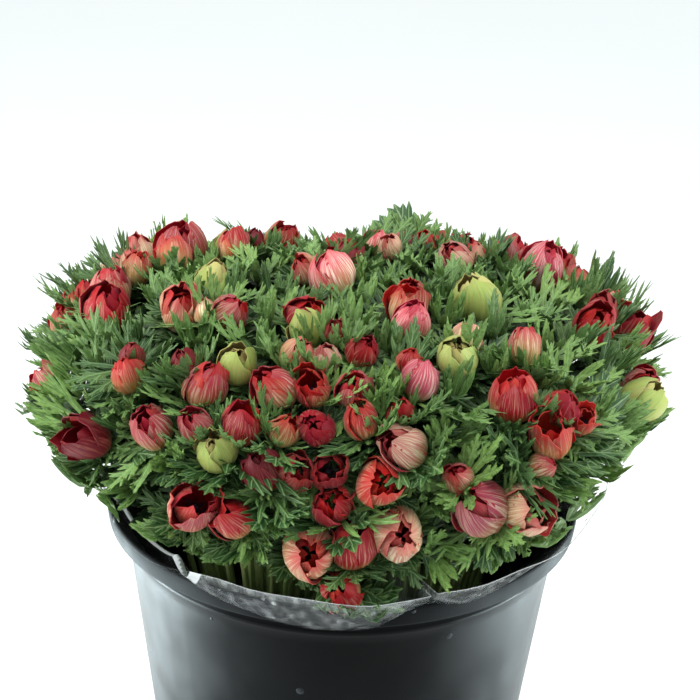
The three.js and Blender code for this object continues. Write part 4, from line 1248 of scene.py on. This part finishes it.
def add_collar(mesh, flower, number, settings):
    """The three cut leaves of the collar just below a bloom"""
    leaves = LeafMaker(mesh, COLLAR_SEED + number, settings)
    draw = leaves.chance.uniform
    corner = corner_share(flower.centre, 10)
    tone = draw(0.0, 1.0)
    for k in range(3):
        outward = flower.outward(flower.turn + (k + 0.5) * 2 * math.pi / 3 + draw(-0.25, 0.25))
        root = flower.place(0, 0, np.array(-0.5)) + outward * 1.6
        length = draw(0.80, 1.1) * (1 + 0.12 * corner)
        wanted = draw(0.94, 1.24) + 0.5 * corner - 0.12 * at_back(flower.centre)
        leaves.grow(root, outward, flower.axis, length, 0.84, tone, wanted, COLLAR_LIFTS)


def add_under_leaves(mesh, flower, number, settings):
    """Lower leaves on the stem that close the head below the blooms, darker both as older leaves and as
    painted shade
    """
    leaves = LeafMaker(mesh, UNDER_SEED + number, settings)
    draw = leaves.chance.uniform
    start = draw(0, 2 * math.pi)
    for k in range(3):
        outward = flower.outward(start + k * 2 * math.pi / 3)
        root = flower.place(0, 0, np.array(-11.0 - 4 * k)) + outward * 1.6
        # A low tone gives these leaves the deep green, partly as older leaves and partly as painted shade
        length, tone, wanted = draw(0.95, 1.25), draw(-0.4, 0.1), draw(0.74, 0.92)
        leaves.grow(root, outward, flower.axis, length, 1.3 + 0.25 * k, tone, wanted, UNDER_LIFTS, lower=True)


def tuft_places():
    """Places on the head that lie farthest from any bloom, where only leaves show"""
    chance = np.random.RandomState(PLACES_SEED)
    tries = chance.uniform(-1, 1, (TUFT_PLACES_TRIED, 3))
    tries[:, 2] = np.abs(tries[:, 2])
    points = tries * np.array([DOME_HALF_WIDTH, DOME_HALF_DEPTH, DOME_HEIGHT]) + np.array([0, 0, DOME_FOOT])
    low = chance.rand(len(points)) < 0.3
    points[low, 2] = DOME_FOOT - chance.uniform(0, 14, low.sum())
    points = onto_dome(points)
    nearest = (np.linalg.norm(points[:, None] - BLOOM_CENTRES, axis=2) - BLOOM_RADII).min(axis=1)
    places = points[np.argmax(nearest)][None]
    for wide in (16, 12, 8):
        for p in points[nearest > wide]:
            if np.linalg.norm(places - p, axis=1).min() > wide + TUFT_SPACING:
                places = np.vstack([places, p])
    return places


def add_tuft(mesh, place, number, settings):
    """A tuft of young leaves between the blooms, more upright and fresher than the collars"""
    leaves = LeafMaker(mesh, TUFT_SEED + number, settings)
    draw = leaves.chance.uniform
    corner, back = corner_share(place, 10), at_back(place)
    axis = unit(dome_normal(place) + np.array([0, 0, UPWARD_LEAN + 2 * corner]) + draw(-0.25, 0.25, 3))
    side = unit(np.cross([0, 1, 0], axis))
    front = np.cross(axis, side)
    tone, start = draw(0.1, 1.3), draw(0, 2 * math.pi)
    root = place - axis * (17 - 13 * corner)
    for k in range(3):
        bearing = start + k * 2 * math.pi / 3 + draw(-0.3, 0.3)
        outward = math.cos(bearing) * side + math.sin(bearing) * front
        length = draw(0.75, 1.05) * (1 + 0.18 * corner - 0.2 * back)
        wanted = draw(1.02, 1.30) + 0.9 * corner - 0.2 * back
        leaves.grow(root + outward * 1.2, outward, axis, length, 0.90 + 0.25 * corner, tone, wanted,
                    TUFT_LIFTS, YOUNG_HAND)


def add_filling(mesh, place, number, settings):
    """A broad leaf well below the surface of the head's sides, which closes it to the eye, dark as painted
    shade
    """
    leaves = LeafMaker(mesh, FILLING_SEED + number, settings)
    axis = unit(dome_normal(place) + np.array([0, 0, 0.8]))
    outward = unit(np.cross(axis, [-place[1], place[0], 0]) * -1)
    root = place * INWARD - axis * 22
    # The low tone keeps this leaf deep green, as painted shade
    leaves.grow(root, outward, axis, 1.25, 2.0, leaves.chance.uniform(-0.4, -0.1), HIDDEN_LEVEL,
                FILLING_LIFTS, lower=True)


def lining_places():
    """Places on the head, in three rings, behind which a leaf of the lining stands"""
    turn = 2 * math.pi / LINING_COUNT
    return [on_dome((k + 0.35 + ring / 3) * turn, height)
            for ring, height in enumerate(LINING_HEIGHTS) for k in range(LINING_COUNT)]


def add_lining(mesh, place, number, settings):
    """A broad leaf that stands inside the head, so that no daylight shows through it, dark as painted shade
    """
    leaves = LeafMaker(mesh, LINING_SEED + number, settings)
    outward = unit([place[0], place[1], 0])
    root = place * INWARD - np.array([0, 0, 30])
    # The low tone keeps this leaf deep green, as painted shade
    leaves.grow(root, outward, np.array([0, 0, 1.0]), 1.35, 3.3, leaves.chance.uniform(-0.4, -0.1),
                HIDDEN_LEVEL, LINING_LIFTS, lower=True)


def stem_line(flower):
    """A stem's path from under its bloom down through its sleeve to the floor of the bucket"""
    foot = turned(flower.foot, -SLEEVE_TURN)
    neck = foot[:2] * NECK_SHARE
    neck = neck * min(1, NECK_REACH / np.linalg.norm(neck))
    neck[0] = flower.sleeve * max(flower.sleeve * neck[0], NECK_MARGIN)
    start = np.array([foot[0] - flower.sleeve * SLEEVE_MIDDLE, foot[1] * 0.65]) * START_SHARE
    start = start * min(1, START_REACH / np.linalg.norm(start))
    packed = start * (BUNDLE_RADIUS - 4) / START_REACH
    levels = ((packed, FLOOR + 1.5), (packed, 60), (packed * 1.05, 112), (start, STEM_START))
    points = [np.array([flower.sleeve * BUNDLE_X + out[0], out[1], height]) for out, height in levels]
    points.append(np.array([*neck, max(foot[2] - NECK_LENGTH, LOWEST_NECK)]))
    return [turned(p, SLEEVE_TURN) for p in points]


def soft_path(points, per_span):
    """A curve that passes through the points, without kinks"""
    points = np.array(points)
    padded = np.concatenate([2 * points[:1] - points[1:2], points, 2 * points[-1:] - points[-2:-1]])
    path = []
    for k in range(len(points) - 1):
        a, b, c, d = padded[k:k + 4]
        t = np.linspace(0, 1, per_span, endpoint=False)[:, None]
        path.append(0.5 * (2 * b + (c - a) * t + (2 * a - 5 * b + 4 * c - d) * t ** 2
                           + (3 * b - a - 3 * c + d) * t ** 3))
    return np.concatenate(path + [points[-1:]])


def add_stem(mesh, flower, number, settings):
    """One stem, a little wider where it carries its bloom"""
    chance = np.random.RandomState(STEM_SEED + number)
    top = flower.place(0, 0, np.array(-2.0)) + flower.axis * 3.2
    path = soft_path([*stem_line(flower), top - flower.axis * 16, top], 4)
    radius = settings.stem_radius / MM * chance.uniform(0.82, 1.0) * np.linspace(1.0, 0.86, len(path))
    radius[-1] *= 1.25
    mesh.tube(path, radius, 6, along=np.linspace(0, 1, len(path)), tone=chance.uniform(0, 1))


def sleeve_points(side, around, level):
    """Points of a sleeve: around is their place in its loop of points, and level goes up it from 0 to 5"""
    lower = np.minimum(level, 3)
    z = np.interp(lower, range(4), [SLEEVE_FOOT, BUNDLE_TOP, SHOULDER, BUCKET_HEIGHT + FILM_OVER_RIM])
    radius = np.interp(lower, range(4), [MOUTH_RADIUS] * 3 + [RIM_RADIUS - RIM_WALL - FILM_INSIDE_RIM])
    spread = np.interp(lower, range(4), [0, 0.6, 1, 1])
    half_gap = SLEEVE_GAP / 2
    corner = np.arccos(half_gap / radius)
    on_arc = around <= ARC_LAST
    turn = -corner + 2 * corner * np.minimum(around, ARC_LAST) / ARC_LAST
    across = 1 - 2 * (around - ARC_LAST) / (LOOP_POINTS - ARC_LAST)
    mouth_x = np.where(on_arc, radius * np.cos(turn), half_gap)
    mouth_y = np.where(on_arc, radius * np.sin(turn), across * radius * np.sin(corner))
    round_foot = -math.pi * 0.7 + around / LOOP_POINTS * 2 * math.pi
    x = (BUNDLE_X + SLEEVE_FOOT_RADIUS * np.cos(round_foot)) * (1 - spread) + mouth_x * spread
    y = SLEEVE_FOOT_RADIUS * np.sin(round_foot) * (1 - spread) + mouth_y * spread
    x, y = side * x, side * y
    bearing = np.arctan2(y, x)
    front, far, height, sag = sleeve_edge(bearing + SLEEVE_TURN)
    z = z + FILM_FRONT_LIFT * front * np.clip(level - 2, 0, 1)
    share = np.clip((level - 3) / 2, 0, 1)
    free = smooth(np.minimum(around, ARC_LAST - around), 0, 1)
    sag = sag * (0.35 + 0.65 * free)
    away = np.hypot(x, y)
    out = away + (far - away) * share
    leaning = z + (height - z) * share - sag * 4 * share * (1 - share)
    x = np.where(on_arc, x + (out * np.cos(bearing) - x) * free, x)
    y = np.where(on_arc, out * np.sin(bearing), y)
    z = np.where(on_arc, leaning, z + 8 * share)
    return turned(np.stack([x, y, z], axis=-1), SLEEVE_TURN)


def creases(across, up, chance, count, size):
    """Flat facets with straight creases between them, from 0 to 1"""
    height = np.zeros(np.broadcast(across, up).shape)
    line = np.zeros_like(height)
    for k in range(count):
        turn = chance.uniform(0, math.pi)
        wide = size * chance.uniform(0.6, 1.7)
        phase = (across * math.cos(turn) + up * math.sin(turn)) / wide + chance.uniform(0, 1)
        wave = np.abs((phase % 1) - 0.5) * 2
        height += (wave - 0.5) * chance.uniform(0.4, 1.0)
        line = np.maximum(line, smooth(np.abs(wave - 0.5) * 2, 0.90, 1.0))
    return height / math.sqrt(count), line


def build_sleeve(side, settings):
    """One sleeve of clear film with its flat facets, creases, wavy free edge and folded bead"""
    columns, film, no_fold = FILM_COLUMNS, 0.25, -60
    chance = np.random.RandomState(FILM_SEEDS[side])
    around = np.linspace(0, LOOP_POINTS, columns, endpoint=False)[None, :]
    level = np.concatenate([np.linspace(low, high, rows, endpoint=high == EDGE_LEVEL)
                            for low, high, rows in FILM_LEVELS])[:, None]
    rows = len(level)
    grid = sleeve_points(side, around, level)
    stretch = np.linalg.norm(np.diff(grid, axis=1, append=grid[:, :1]), axis=-1)
    lay_across = np.cumsum(stretch, axis=1)
    lay_up = np.cumsum(np.linalg.norm(np.diff(grid, axis=0, prepend=grid[:1]), axis=-1), axis=0)
    large, line = creases(lay_across[-14], lay_up - lay_up[16], chance, 4, 74)
    small, fine_line = creases(lay_across[-14], lay_up - lay_up[16], chance, 3, 31)

    below_rim = 0.35 * smooth(level, 0.1, 0.6) * (1 - smooth(level, 2.2, 2.8))
    wall_ends = 1 - smooth(around, LOOP_POINTS - 0.6, LOOP_POINTS)
    off_wall = 1 - smooth(around, ARC_LAST - 0.4, ARC_LAST + 0.4) * wall_ends
    hanging = np.where(level < 3, below_rim, smooth(level, 3.05, 3.5)) * (0.1 + 0.9 * off_wall)
    edge = smooth(level, 4.3, 5) * off_wall
    normal = grid_normals(np.concatenate([grid[:, -1:], grid, grid[:, :1]], axis=1))[:, 1:-1]
    grid = grid + normal * ((large + 0.25 * small) * settings.crinkle / MM * hanging)[..., None]
    flutter = np.sin(lay_across / 29 + 1.3 * side) + 0.5 * np.sin(lay_across / 11.3 + 2)
    grid[..., 2] += 1.6 * flutter * edge
    outward = grid * np.array([1, 1, 0])
    outward /= np.linalg.norm(outward, axis=-1, keepdims=True)
    grid += outward * (1.6 * np.sin(lay_across / 23 + 2 * side) * edge)[..., None]
    inner = grid - normal * film
    bearing = round_and_out(grid)[0]
    fold = np.where(level > 1.9, beyond_fold(grid), no_fold)
    at_left = smooth(np.degrees(bearing), -172, -160) * smooth(-np.degrees(bearing), 118, 130)
    grid[..., 2] += 9 * bell(fold, -2.5, 4.5) * at_left
    inner[..., 2] = grid[..., 2]

    front = np.maximum(-np.sin(bearing), 0) ** 2
    # Painted highlights: the crease lines, and the crest where the film bends over the rim in front, are made
    # paler and more opaque in the material
    crease = np.clip(line * 0.9 + fine_line * 0.5, 0, 1) * hanging
    crest = bell(level, 3, 0.12) * off_wall * front
    veil = smooth(level, 2.97, 3.12) * off_wall * (0.35 + 0.65 * front)
    veil = veil * (0.4 + 0.8 * smooth(level, 3.6, 4.9))
    # The edge measure makes the film opaque along its free edge, as a painted highlight
    measures = dict(crease=np.maximum(crease, 0.45 * crest), fold=fold, veil=veil,
                    edge=smooth(level, 4.86, 5) * off_wall, lay_across=lay_across, lay_up=lay_up)
    count, last_row = rows * columns, (rows - 1) * columns
    quads = ring_quads(rows, columns)
    ring, after = ring_sides(columns)
    foot_rim = np.stack([after, ring, ring + count, after + count], axis=1)
    edge_rim = np.stack([ring, after, after + count, ring + count], axis=1) + last_row
    mesh = Mesh()
    mesh.add(np.concatenate([grid.reshape(-1, 3), inner.reshape(-1, 3)]),
             np.concatenate([quads, quads[:, ::-1] + count, foot_rim, edge_rim]),
             **{name: np.tile(value.ravel(), 2) for name, value in measures.items()})
    # The bead along the free edge is made pale and opaque in the material, as a painted highlight
    bead = grid[-1, ::2]
    closed = np.concatenate([bead, bead[:1]])
    mesh.tube(closed, 0.2, 5, crease=0.8, fold=np.maximum(beyond_fold(closed), no_fold), veil=1, edge=3,
              lay_across=0, lay_up=0)
    return mesh


@made_once("materials", "clear film")
def film_material(settings):
    """Clear film, seen mostly by its gloss, drops and rows of small holes, with painted highlights along its
    creases, its free edge and its fold
    """
    material, graph, shader = new_material("clear film", Roughness=0.17, Specular_IOR_Level=1.0, IOR=1.5)
    crease, edge, fold = graph.measure("crease"), graph.measure("edge"), graph.measure("fold")
    weight = graph.node("ShaderNodeLayerWeight")
    weight.inputs["Blend"].default_value = 0.28
    grazing = graph.times(graph.math("POWER", weight.outputs["Facing"], 2.6), 0.03)
    streak = graph.ramp(graph.noise(6, 0.5, (1, 1, 3.0)), 0.54, 0.60, 0.0, 0.03)
    # Where the film folds back inside the rim: a real fold, given a pale opaque line and band as painted
    # highlight
    fold_line_highlight = graph.ramp(graph.math("ABSOLUTE", fold), 0.3, 0.7, 0.55, 0.0)
    folded = graph.ramp(fold, -5.2, -4.6)
    band = graph.times(folded, graph.ramp(fold, -0.2, 0.4, 0.5, 0.0))
    veil = graph.times(graph.measure("veil"), graph.ramp(graph.noise(9, 0.5), 0.3, 0.7, 0.035, 0.06))
    drops = use_group(graph, wet_drops(), scale=150.0, share=0.22)

    column, row = 7.5, 19.0
    cell = graph.combine(graph.math("DIVIDE", graph.measure("lay_across"), column),
                         graph.math("DIVIDE", graph.measure("lay_up"), row))
    centred = graph.vector_math("SUBTRACT", graph.vector_math("FRACTION", cell), (0.5, 0.5, 0))
    spaced = graph.vector_math("MULTIPLY", centred, (column, row, 0))
    hole = graph.ramp(graph.vector_math("LENGTH", spaced, output=1), 0.35, 0.6, 0.22, 0.0)
    hole = graph.times(hole, graph.ramp(graph.noise(11, 1.0), 0.5, 0.56))

    # Painted highlights raise the alpha along the creases, at the free edge and along the fold
    alpha = graph.plus(grazing, settings.clearness, graph.times(crease, 0.09), graph.times(edge, 0.2),
                       graph.plus(veil, band), streak, hole)
    alpha = graph.math("ADD", alpha, graph.times(drops["Mask"], 0.3), clamp=True)
    alpha = graph.times(alpha, graph.ramp(fold, 0.0, 0.9, 1.0, 0.04))
    graph.link(graph.math("MAXIMUM", alpha, fold_line_highlight), shader["Alpha"])
    # Painted highlight: the creases and the folded band take a pale colour
    tint = graph.layers(
        settings.colour, (graph.ramp(graph.noise(7, 0.5), 0.35, 0.7), (0.12, 0.14, 0.15)),
        (graph.math("MAXIMUM", crease, folded), (0.50, 0.54, 0.54)))
    graph.link(tint, shader["Base Color"])
    height = graph.plus(graph.times(graph.noise(30, 1.0), 0.3), drops["Height"])
    graph.link(graph.bump(height, 0.05, 0.0008), shader["Normal"])
    return material


@made_once("materials", "cut leaf")
def leaf_material(settings):
    """Leaf green from deep to fresh, with pale ribs and margins, and painted shade well inside the head"""
    material, graph, shader = new_material("cut leaf", Specular_IOR_Level=0.34)
    tone, across, along = graph.measure("tone"), graph.measure("across"), graph.measure("along")
    colour = graph.layers(
        settings.deep,
        (graph.ramp(graph.plus(tone, graph.times(graph.noise(34), 0.5)), 0.1, 1.2), settings.fresh),
        (graph.ramp(tone, 0.85, 1.35, 0.0, 0.5), (0.220, 0.350, 0.070)),
        (graph.ramp(graph.noise(420), 0.35, 0.75, 0.0, 0.45), (0.018, 0.060, 0.012)),
        (graph.ramp(across, 0.03, 0.26, 0.48, 0.0), (0.28, 0.42, 0.19)),
        (graph.ramp(across, 0.78, 1.0, 0.0, 0.28), (0.24, 0.38, 0.15)),
        (graph.ramp(along, 0.75, 1.0, 0.0, 0.2), (0.22, 0.36, 0.10)),
        # Painted shade: leaves deep inside the head turn nearly black green
        (graph.ramp(graph.measure("within"), 0.0, 1.0, 0.80, 0.0), (0.006, 0.018, 0.004)))
    graph.link(colour, shader["Base Color"])
    graph.link(graph.ramp(graph.noise(150), 0.3, 0.7, 0.30, 0.52), shader["Roughness"])
    veins = graph.math("SINE", graph.times(graph.plus(across, graph.times(along, 3.0)), 16.0))
    height = graph.plus(graph.times(veins, 0.4), graph.noise(260))
    graph.link(graph.bump(height, 0.45, 0.0005), shader["Normal"])
    return material


@made_once("materials", "stem")
def stem_material(settings):
    """Green stems with a lengthwise grain and a faint red blush"""
    material, graph, shader = new_material("stem", Roughness=0.42, Specular_IOR_Level=0.4)
    grain = graph.noise(220, 3.0, (1, 1, 0.12))
    colour = graph.layers(
        settings.stem, (graph.measure("tone"), (0.33, 0.40, 0.15)),
        (graph.ramp(grain, 0.35, 0.7, 0.0, 0.4), (0.10, 0.18, 0.05)),
        (graph.ramp(graph.noise(18), 0.55, 0.8, 0.0, 0.35), (0.26, 0.14, 0.07)))
    graph.link(colour, shader["Base Color"])
    graph.link(graph.bump(grain, 0.4, 0.0004), shader["Normal"])
    return material


@made_once("materials", "black bucket plastic")
def bucket_material(settings):
    """Black moulded plastic with faint clouds and scuffs, a duller rim and a few drops"""
    material, graph, shader = new_material("black bucket plastic", Specular_IOR_Level=0.05)
    scratch = graph.noise(70, 5.0, (1, 1, 0.06), roughness=0.7)
    scuff = graph.times(graph.ramp(scratch, 0.66, 0.74, 0.0, 0.5), graph.ramp(graph.noise(12), 0.5, 0.7))
    drops = use_group(graph, wet_drops(), scale=85.0, share=0.05)
    wet = graph.times(drops["Mask"], 0.3)
    colour = graph.layers(
        settings.plastic, (graph.ramp(graph.noise(9, 3.0), 0.35, 0.7, 0.0, 0.6), (0.0020, 0.0027, 0.0031)),
        (scuff, (0.026, 0.029, 0.032)), (wet, (0.05, 0.055, 0.06)))
    graph.link(colour, shader["Base Color"])
    rough = graph.plus(graph.ramp(graph.noise(24, 3.0), 0.3, 0.7, -0.06, 0.09), settings.roughness,
                       graph.times(scuff, 0.3), graph.times(graph.measure("rim"), 0.3))
    graph.link(graph.math("SUBTRACT", rough, wet, clamp=True), shader["Roughness"])
    height = graph.plus(graph.times(graph.noise(900), 0.06), graph.times(drops["Height"], 1.4))
    graph.link(graph.bump(height, 0.6, 0.0012), shader["Normal"])
    return material


def water_material():
    """Slightly cloudy water with a faint ripple"""
    material, graph, shader = new_material("bucket water", Roughness=0.04, IOR=1.33)
    ripple = graph.noise(28)
    graph.link(graph.mix(graph.ramp(ripple, 0.3, 0.7), (0.30, 0.38, 0.33), (0.42, 0.50, 0.43)),
               shader["Base Color"])
    graph.link(graph.ramp(graph.noise(11), 0.3, 0.7, 0.42, 0.60), shader["Alpha"])
    graph.link(graph.bump(ripple, 0.25, 0.0015), shader["Normal"])
    return material


def build_bucket(settings):
    """The moulded bucket: a tapered wall with a rolled rim band, a bead under it and a raised foot"""
    def outer(z, proud=0.0):
        return BASE_RADIUS + WALL_TAPER * z + proud, z

    def inner(z, proud=0.0):
        return outer(z)[0] - WALL + proud, z

    raised, edge, band = 0.9, RIM_RADIUS, RIM_RADIUS - RIM_WALL
    profile = [
        (0.4, raised), (BASE_RADIUS - 16, raised), (BASE_RADIUS - 14, 0.0), (BASE_RADIUS - 3.4, 0.0),
        (BASE_RADIUS - 1.6, 0.5), (BASE_RADIUS - 0.4, 1.8),
        *[outer(z) for z in (3.4, 30, 70, 110, 150, 190, 230, 262, 284)],
        outer(290, 0.1), (outer(291)[0] + 1.0, 291.4), outer(293, 1.2), (outer(294)[0] + 1.0, 294.6),
        outer(296, 0.1), outer(SHOULDER - 2.4), outer(SHOULDER - 1.6, 0.8),
        (edge - 2.4, SHOULDER - 1.3), (edge - 1.2, SHOULDER - 0.6), (edge - 0.9, SHOULDER + 0.8),
        (edge - 0.3, SHOULDER + 6), (edge, BUCKET_HEIGHT - 3.4), (edge - 0.3, BUCKET_HEIGHT - 1.3),
        (edge - 1.0, BUCKET_HEIGHT - 0.3), (edge - 1.6, BUCKET_HEIGHT), (edge - 2.4, BUCKET_HEIGHT - 0.2),
        (band, BUCKET_HEIGHT - 1.2), (band - 0.4, BUCKET_HEIGHT - 5), (band - 1, SHOULDER + 3),
        (band - 2.2, SHOULDER + 1.0), (inner(SHOULDER)[0] + 0.6, SHOULDER + 0.2),
        (inner(SHOULDER)[0], SHOULDER - 1.2),
        *[inner(z) for z in (270, 220, 170, 120, 70, 30, FLOOR + 3)], inner(FLOOR, -2.6), (0.4, FLOOR),
    ]
    out, up = np.array(profile).T[..., None]
    turn = (np.arange(settings.sides) * 2 * math.pi / settings.sides)[None, :]
    grid = np.stack([out * np.cos(turn), out * np.sin(turn), up + 0 * turn], axis=-1)
    mesh = Mesh()
    mesh.rings(grid, (0, 0, raised), (0, 0, FLOOR), rim=smooth(up[:, 0], SHOULDER - 4, SHOULDER))
    return mesh


def sharp_edged(made, degrees):
    """Keeps an object's edges sharp where its faces meet at more than an angle"""
    made.data.set_sharp_from_angle(angle=math.radians(degrees))
    return made


class MakeBucket(bpy.types.Operator):
    """Makes the black bucket, and gives its water a material"""

    bl_idname = "anemones.make_bucket"
    bl_label = "Bucket and water"

    def execute(self, context):
        settings = context.scene.anemone_bucket
        made = sharp_edged(build_bucket(settings).object("bucket_shell", [bucket_material(settings)]), 50)
        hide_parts("bucket")
        water = bpy.data.objects["water"]
        water.data.materials.clear()
        water.data.materials.append(water_material())
        return {"FINISHED"}


class MakeStems(bpy.types.Operator):
    """Makes the stems of both sleeves, from the blooms down to the floor of the bucket"""

    bl_idname = "anemones.make_stems"
    bl_label = "Stems"

    def execute(self, context):
        settings = context.scene.anemone_leaves
        for side, word in SIDES:
            mesh = Mesh()
            for number, flower in enumerate(FLOWERS):
                if flower.sleeve == side:
                    add_stem(mesh, flower, number, settings)
            made = sharp_edged(mesh.object(f"stems_{word}", [stem_material(settings)]), 60)
            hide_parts(f"leafy_stems_{word}")
        return {"FINISHED"}


class MakeLeaves(bpy.types.Operator):
    """Makes the leaves: collars, a lower tier, tufts between the blooms, and leaves that close the head"""

    bl_idname = "anemones.make_leaves"
    bl_label = "Leaves"

    def execute(self, context):
        settings = context.scene.anemone_leaves
        tufts = tuft_places()
        for side, word in SIDES:
            collars, lower = Mesh(), Mesh()
            for number, flower in enumerate(FLOWERS):
                if flower.sleeve == side:
                    add_collar(collars, flower, number, settings)
                    add_under_leaves(lower, flower, number, settings)
            for number, place in enumerate(tufts):
                if side_of(place) == side:
                    add_tuft(lower, place, number, settings)
                    if place[2] < FILLED_BELOW:
                        add_filling(lower, place, number, settings)
            for number, place in enumerate(lining_places()):
                if side_of(place) == side:
                    add_lining(lower, place, number, settings)
            for mesh, kind in ((collars, "collar"), (lower, "lower")):
                made = sharp_edged(mesh.object(f"{kind}_leaves_{word}", [leaf_material(settings)]), 42)
                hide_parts(f"leafy_stems_{word}")
        return {"FINISHED"}


class MakeBlooms(bpy.types.Operator):
    """Makes the petals of every bloom, one object for each cluster of blooms that touch"""

    bl_idname = "anemones.make_blooms"
    bl_label = "Blooms"

    def execute(self, context):
        settings = context.scene.anemone_blooms
        for node in range(len(CLUSTERS_SHOWN) + len(CLUSTERS_BEHIND)):
            members = [(k, flower) for k, flower in enumerate(FLOWERS) if flower.node == node]
            families = sorted({flower.family for _, flower in members})
            materials = [petal_material(family) for family in families] + [heart_material()]
            mesh = Mesh()
            for number, flower in members:
                add_bloom(mesh, flower, number, settings, families.index(flower.family), len(families))
            made = sharp_edged(mesh.object(f"petals_{node + 1:02d}", materials), 55)
            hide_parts(f"blooms_{node + 1:02d}")
        return {"FINISHED"}


class MakeFilm(bpy.types.Operator):
    """Makes the two sleeves of clear film"""

    bl_idname = "anemones.make_film"
    bl_label = "Film sleeves"

    def execute(self, context):
        settings = context.scene.anemone_film
        for side, word in SIDES:
            mesh = build_sleeve(side, settings)
            made = sharp_edged(mesh.object(f"film_{word}", [film_material(settings)]), 24)
            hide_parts(f"film_sleeve_{word}")
        return {"FINISHED"}


def add_lamp(scene, name, power, place, turn, size, depth=None):
    """A round area light, or a rectangular one where its depth is given"""
    light = bpy.data.lights.new(name, "AREA")
    light.shape = "RECTANGLE" if depth else "DISK"
    light.size, light.energy = size, power
    if depth:
        light.size_y = depth
    lamp = bpy.data.objects.new(name, light)
    lamp.location, lamp.rotation_euler = place, turn
    scene.collection.objects.link(lamp)
    return lamp


class MakeStage(bpy.types.Operator):
    """Makes the pale floor, the soft lights, the white surroundings and the camera"""

    bl_idname = "anemones.make_stage"
    bl_label = "Floor, light and camera"

    def execute(self, context):
        scene = context.scene
        settings = scene.anemone_stage
        mesh = bpy.data.meshes.new("floor")
        wide = 14.0
        mesh.from_pydata([(-wide, -wide, 0), (wide, -wide, 0), (wide, wide, 0), (-wide, wide, 0)], [],
                         [(0, 1, 2, 3)])
        floor = bpy.data.objects.new("floor", mesh)
        scene.collection.objects.link(floor)
        material, graph, shader = new_material("pale floor", Roughness=0.55)
        cloud = graph.ramp(graph.noise(0.9), 0.3, 0.7)
        darker = [value * 0.985 for value in settings.floor]
        graph.link(graph.mix(cloud, settings.floor, darker), shader["Base Color"])
        mesh.materials.append(material)

        world = bpy.data.worlds.new("white surroundings")
        scene.world = world
        world.use_nodes = True
        background = world.node_tree.nodes["Background"]
        background.inputs["Color"].default_value = (0.950, 0.992, 0.995, 1)
        background.inputs["Strength"].default_value = settings.backdrop

        for name, place, aim, power, size in (
                ("soft_top", (-0.35, -0.3, 1.75), (0, 0, 0.36), settings.key_power, 1.5),
                ("soft_left", (-1.05, -0.30, 0.60), (-0.35, -0.15, 0.05), settings.fill_power, 0.7),
                ("soft_right", (1.10, -0.25, 0.65), (0.35, -0.15, 0.05), settings.fill_power * 0.8, 0.7)):
            turn = (Vector(aim) - Vector(place)).to_track_quat("-Z", "Y").to_euler()
            add_lamp(scene, name, power, place, turn, size)

        shell = bpy.data.collections.new("bucket only")
        shell.objects.link(bpy.data.objects["bucket_shell"])
        for side, word in SIDES:
            power = settings.sheen_power * (1.04 - 0.2 * side)
            turn = (math.radians(90), 0, math.radians(side * 90))
            lamp = add_lamp(scene, f"sheen_{word}", power, (side * 0.52, 0.04, -0.015), turn, 0.5, 0.15)
            lamp.data.color = (0.80, 0.96, 1.0)
            lamp.light_linking.receiver_collection = shell
            lamp.light_linking.blocker_collection = shell
            lamp.visible_camera = False

        place, ahead, right, up = camera_frame()
        camera = bpy.data.cameras.new("photograph")
        camera.sensor_width = SENSOR_WIDTH
        camera.lens = FOCAL_PIXELS / FRAME_PIXELS * SENSOR_WIDTH
        camera.clip_end = 60
        seen = bpy.data.objects.new("photograph", camera)
        axes = Matrix((right, up, -ahead)).transposed().to_4x4()
        seen.matrix_world = Matrix.Translation(Vector(place * MM)) @ axes
        scene.collection.objects.link(seen)
        scene.camera = seen
        scene.view_settings.view_transform = "Standard"
        return {"FINISHED"}


MAKERS = (MakeBucket, MakeStems, MakeLeaves, MakeBlooms, MakeFilm, MakeStage)


class AnemonePanel(bpy.types.Panel):
    """Sizes and colours of the bucket of anemones, with a button for each of its pieces"""

    bl_label = "Bucket of anemones"
    bl_idname = "VIEW3D_PT_anemones"
    bl_space_type = "VIEW_3D"
    bl_region_type = "UI"
    bl_category = "Anemones"

    def draw(self, context):
        scene = context.scene
        for name in GROUPS:
            settings = getattr(scene, name)
            box = self.layout.box()
            for key in settings.bl_rna.properties.keys():
                if key not in ("name", "rna_type"):
                    box.prop(settings, key)
        for maker in MAKERS:
            self.layout.operator(maker.bl_idname)


GROUPS = {
    "anemone_blooms": BloomSettings,
    "anemone_leaves": LeafSettings,
    "anemone_bucket": BucketSettings,
    "anemone_film": FilmSettings,
    "anemone_stage": StageSettings,
}


def register():
    for group in GROUPS.values():
        bpy.utils.register_class(group)
    for cls in (*MAKERS, AnemonePanel):
        bpy.utils.register_class(cls)
    for name, group in GROUPS.items():
        setattr(bpy.types.Scene, name, bpy.props.PointerProperty(type=group))


def unregister():
    for name in GROUPS:
        delattr(bpy.types.Scene, name)
    for cls in reversed((*GROUPS.values(), *MAKERS, AnemonePanel)):
        bpy.utils.unregister_class(cls)


def main():
    register()
    for maker in MAKERS:
        group, name = maker.bl_idname.split(".")
        getattr(getattr(bpy.ops, group), name)()


if __name__ == "__main__":
    main()
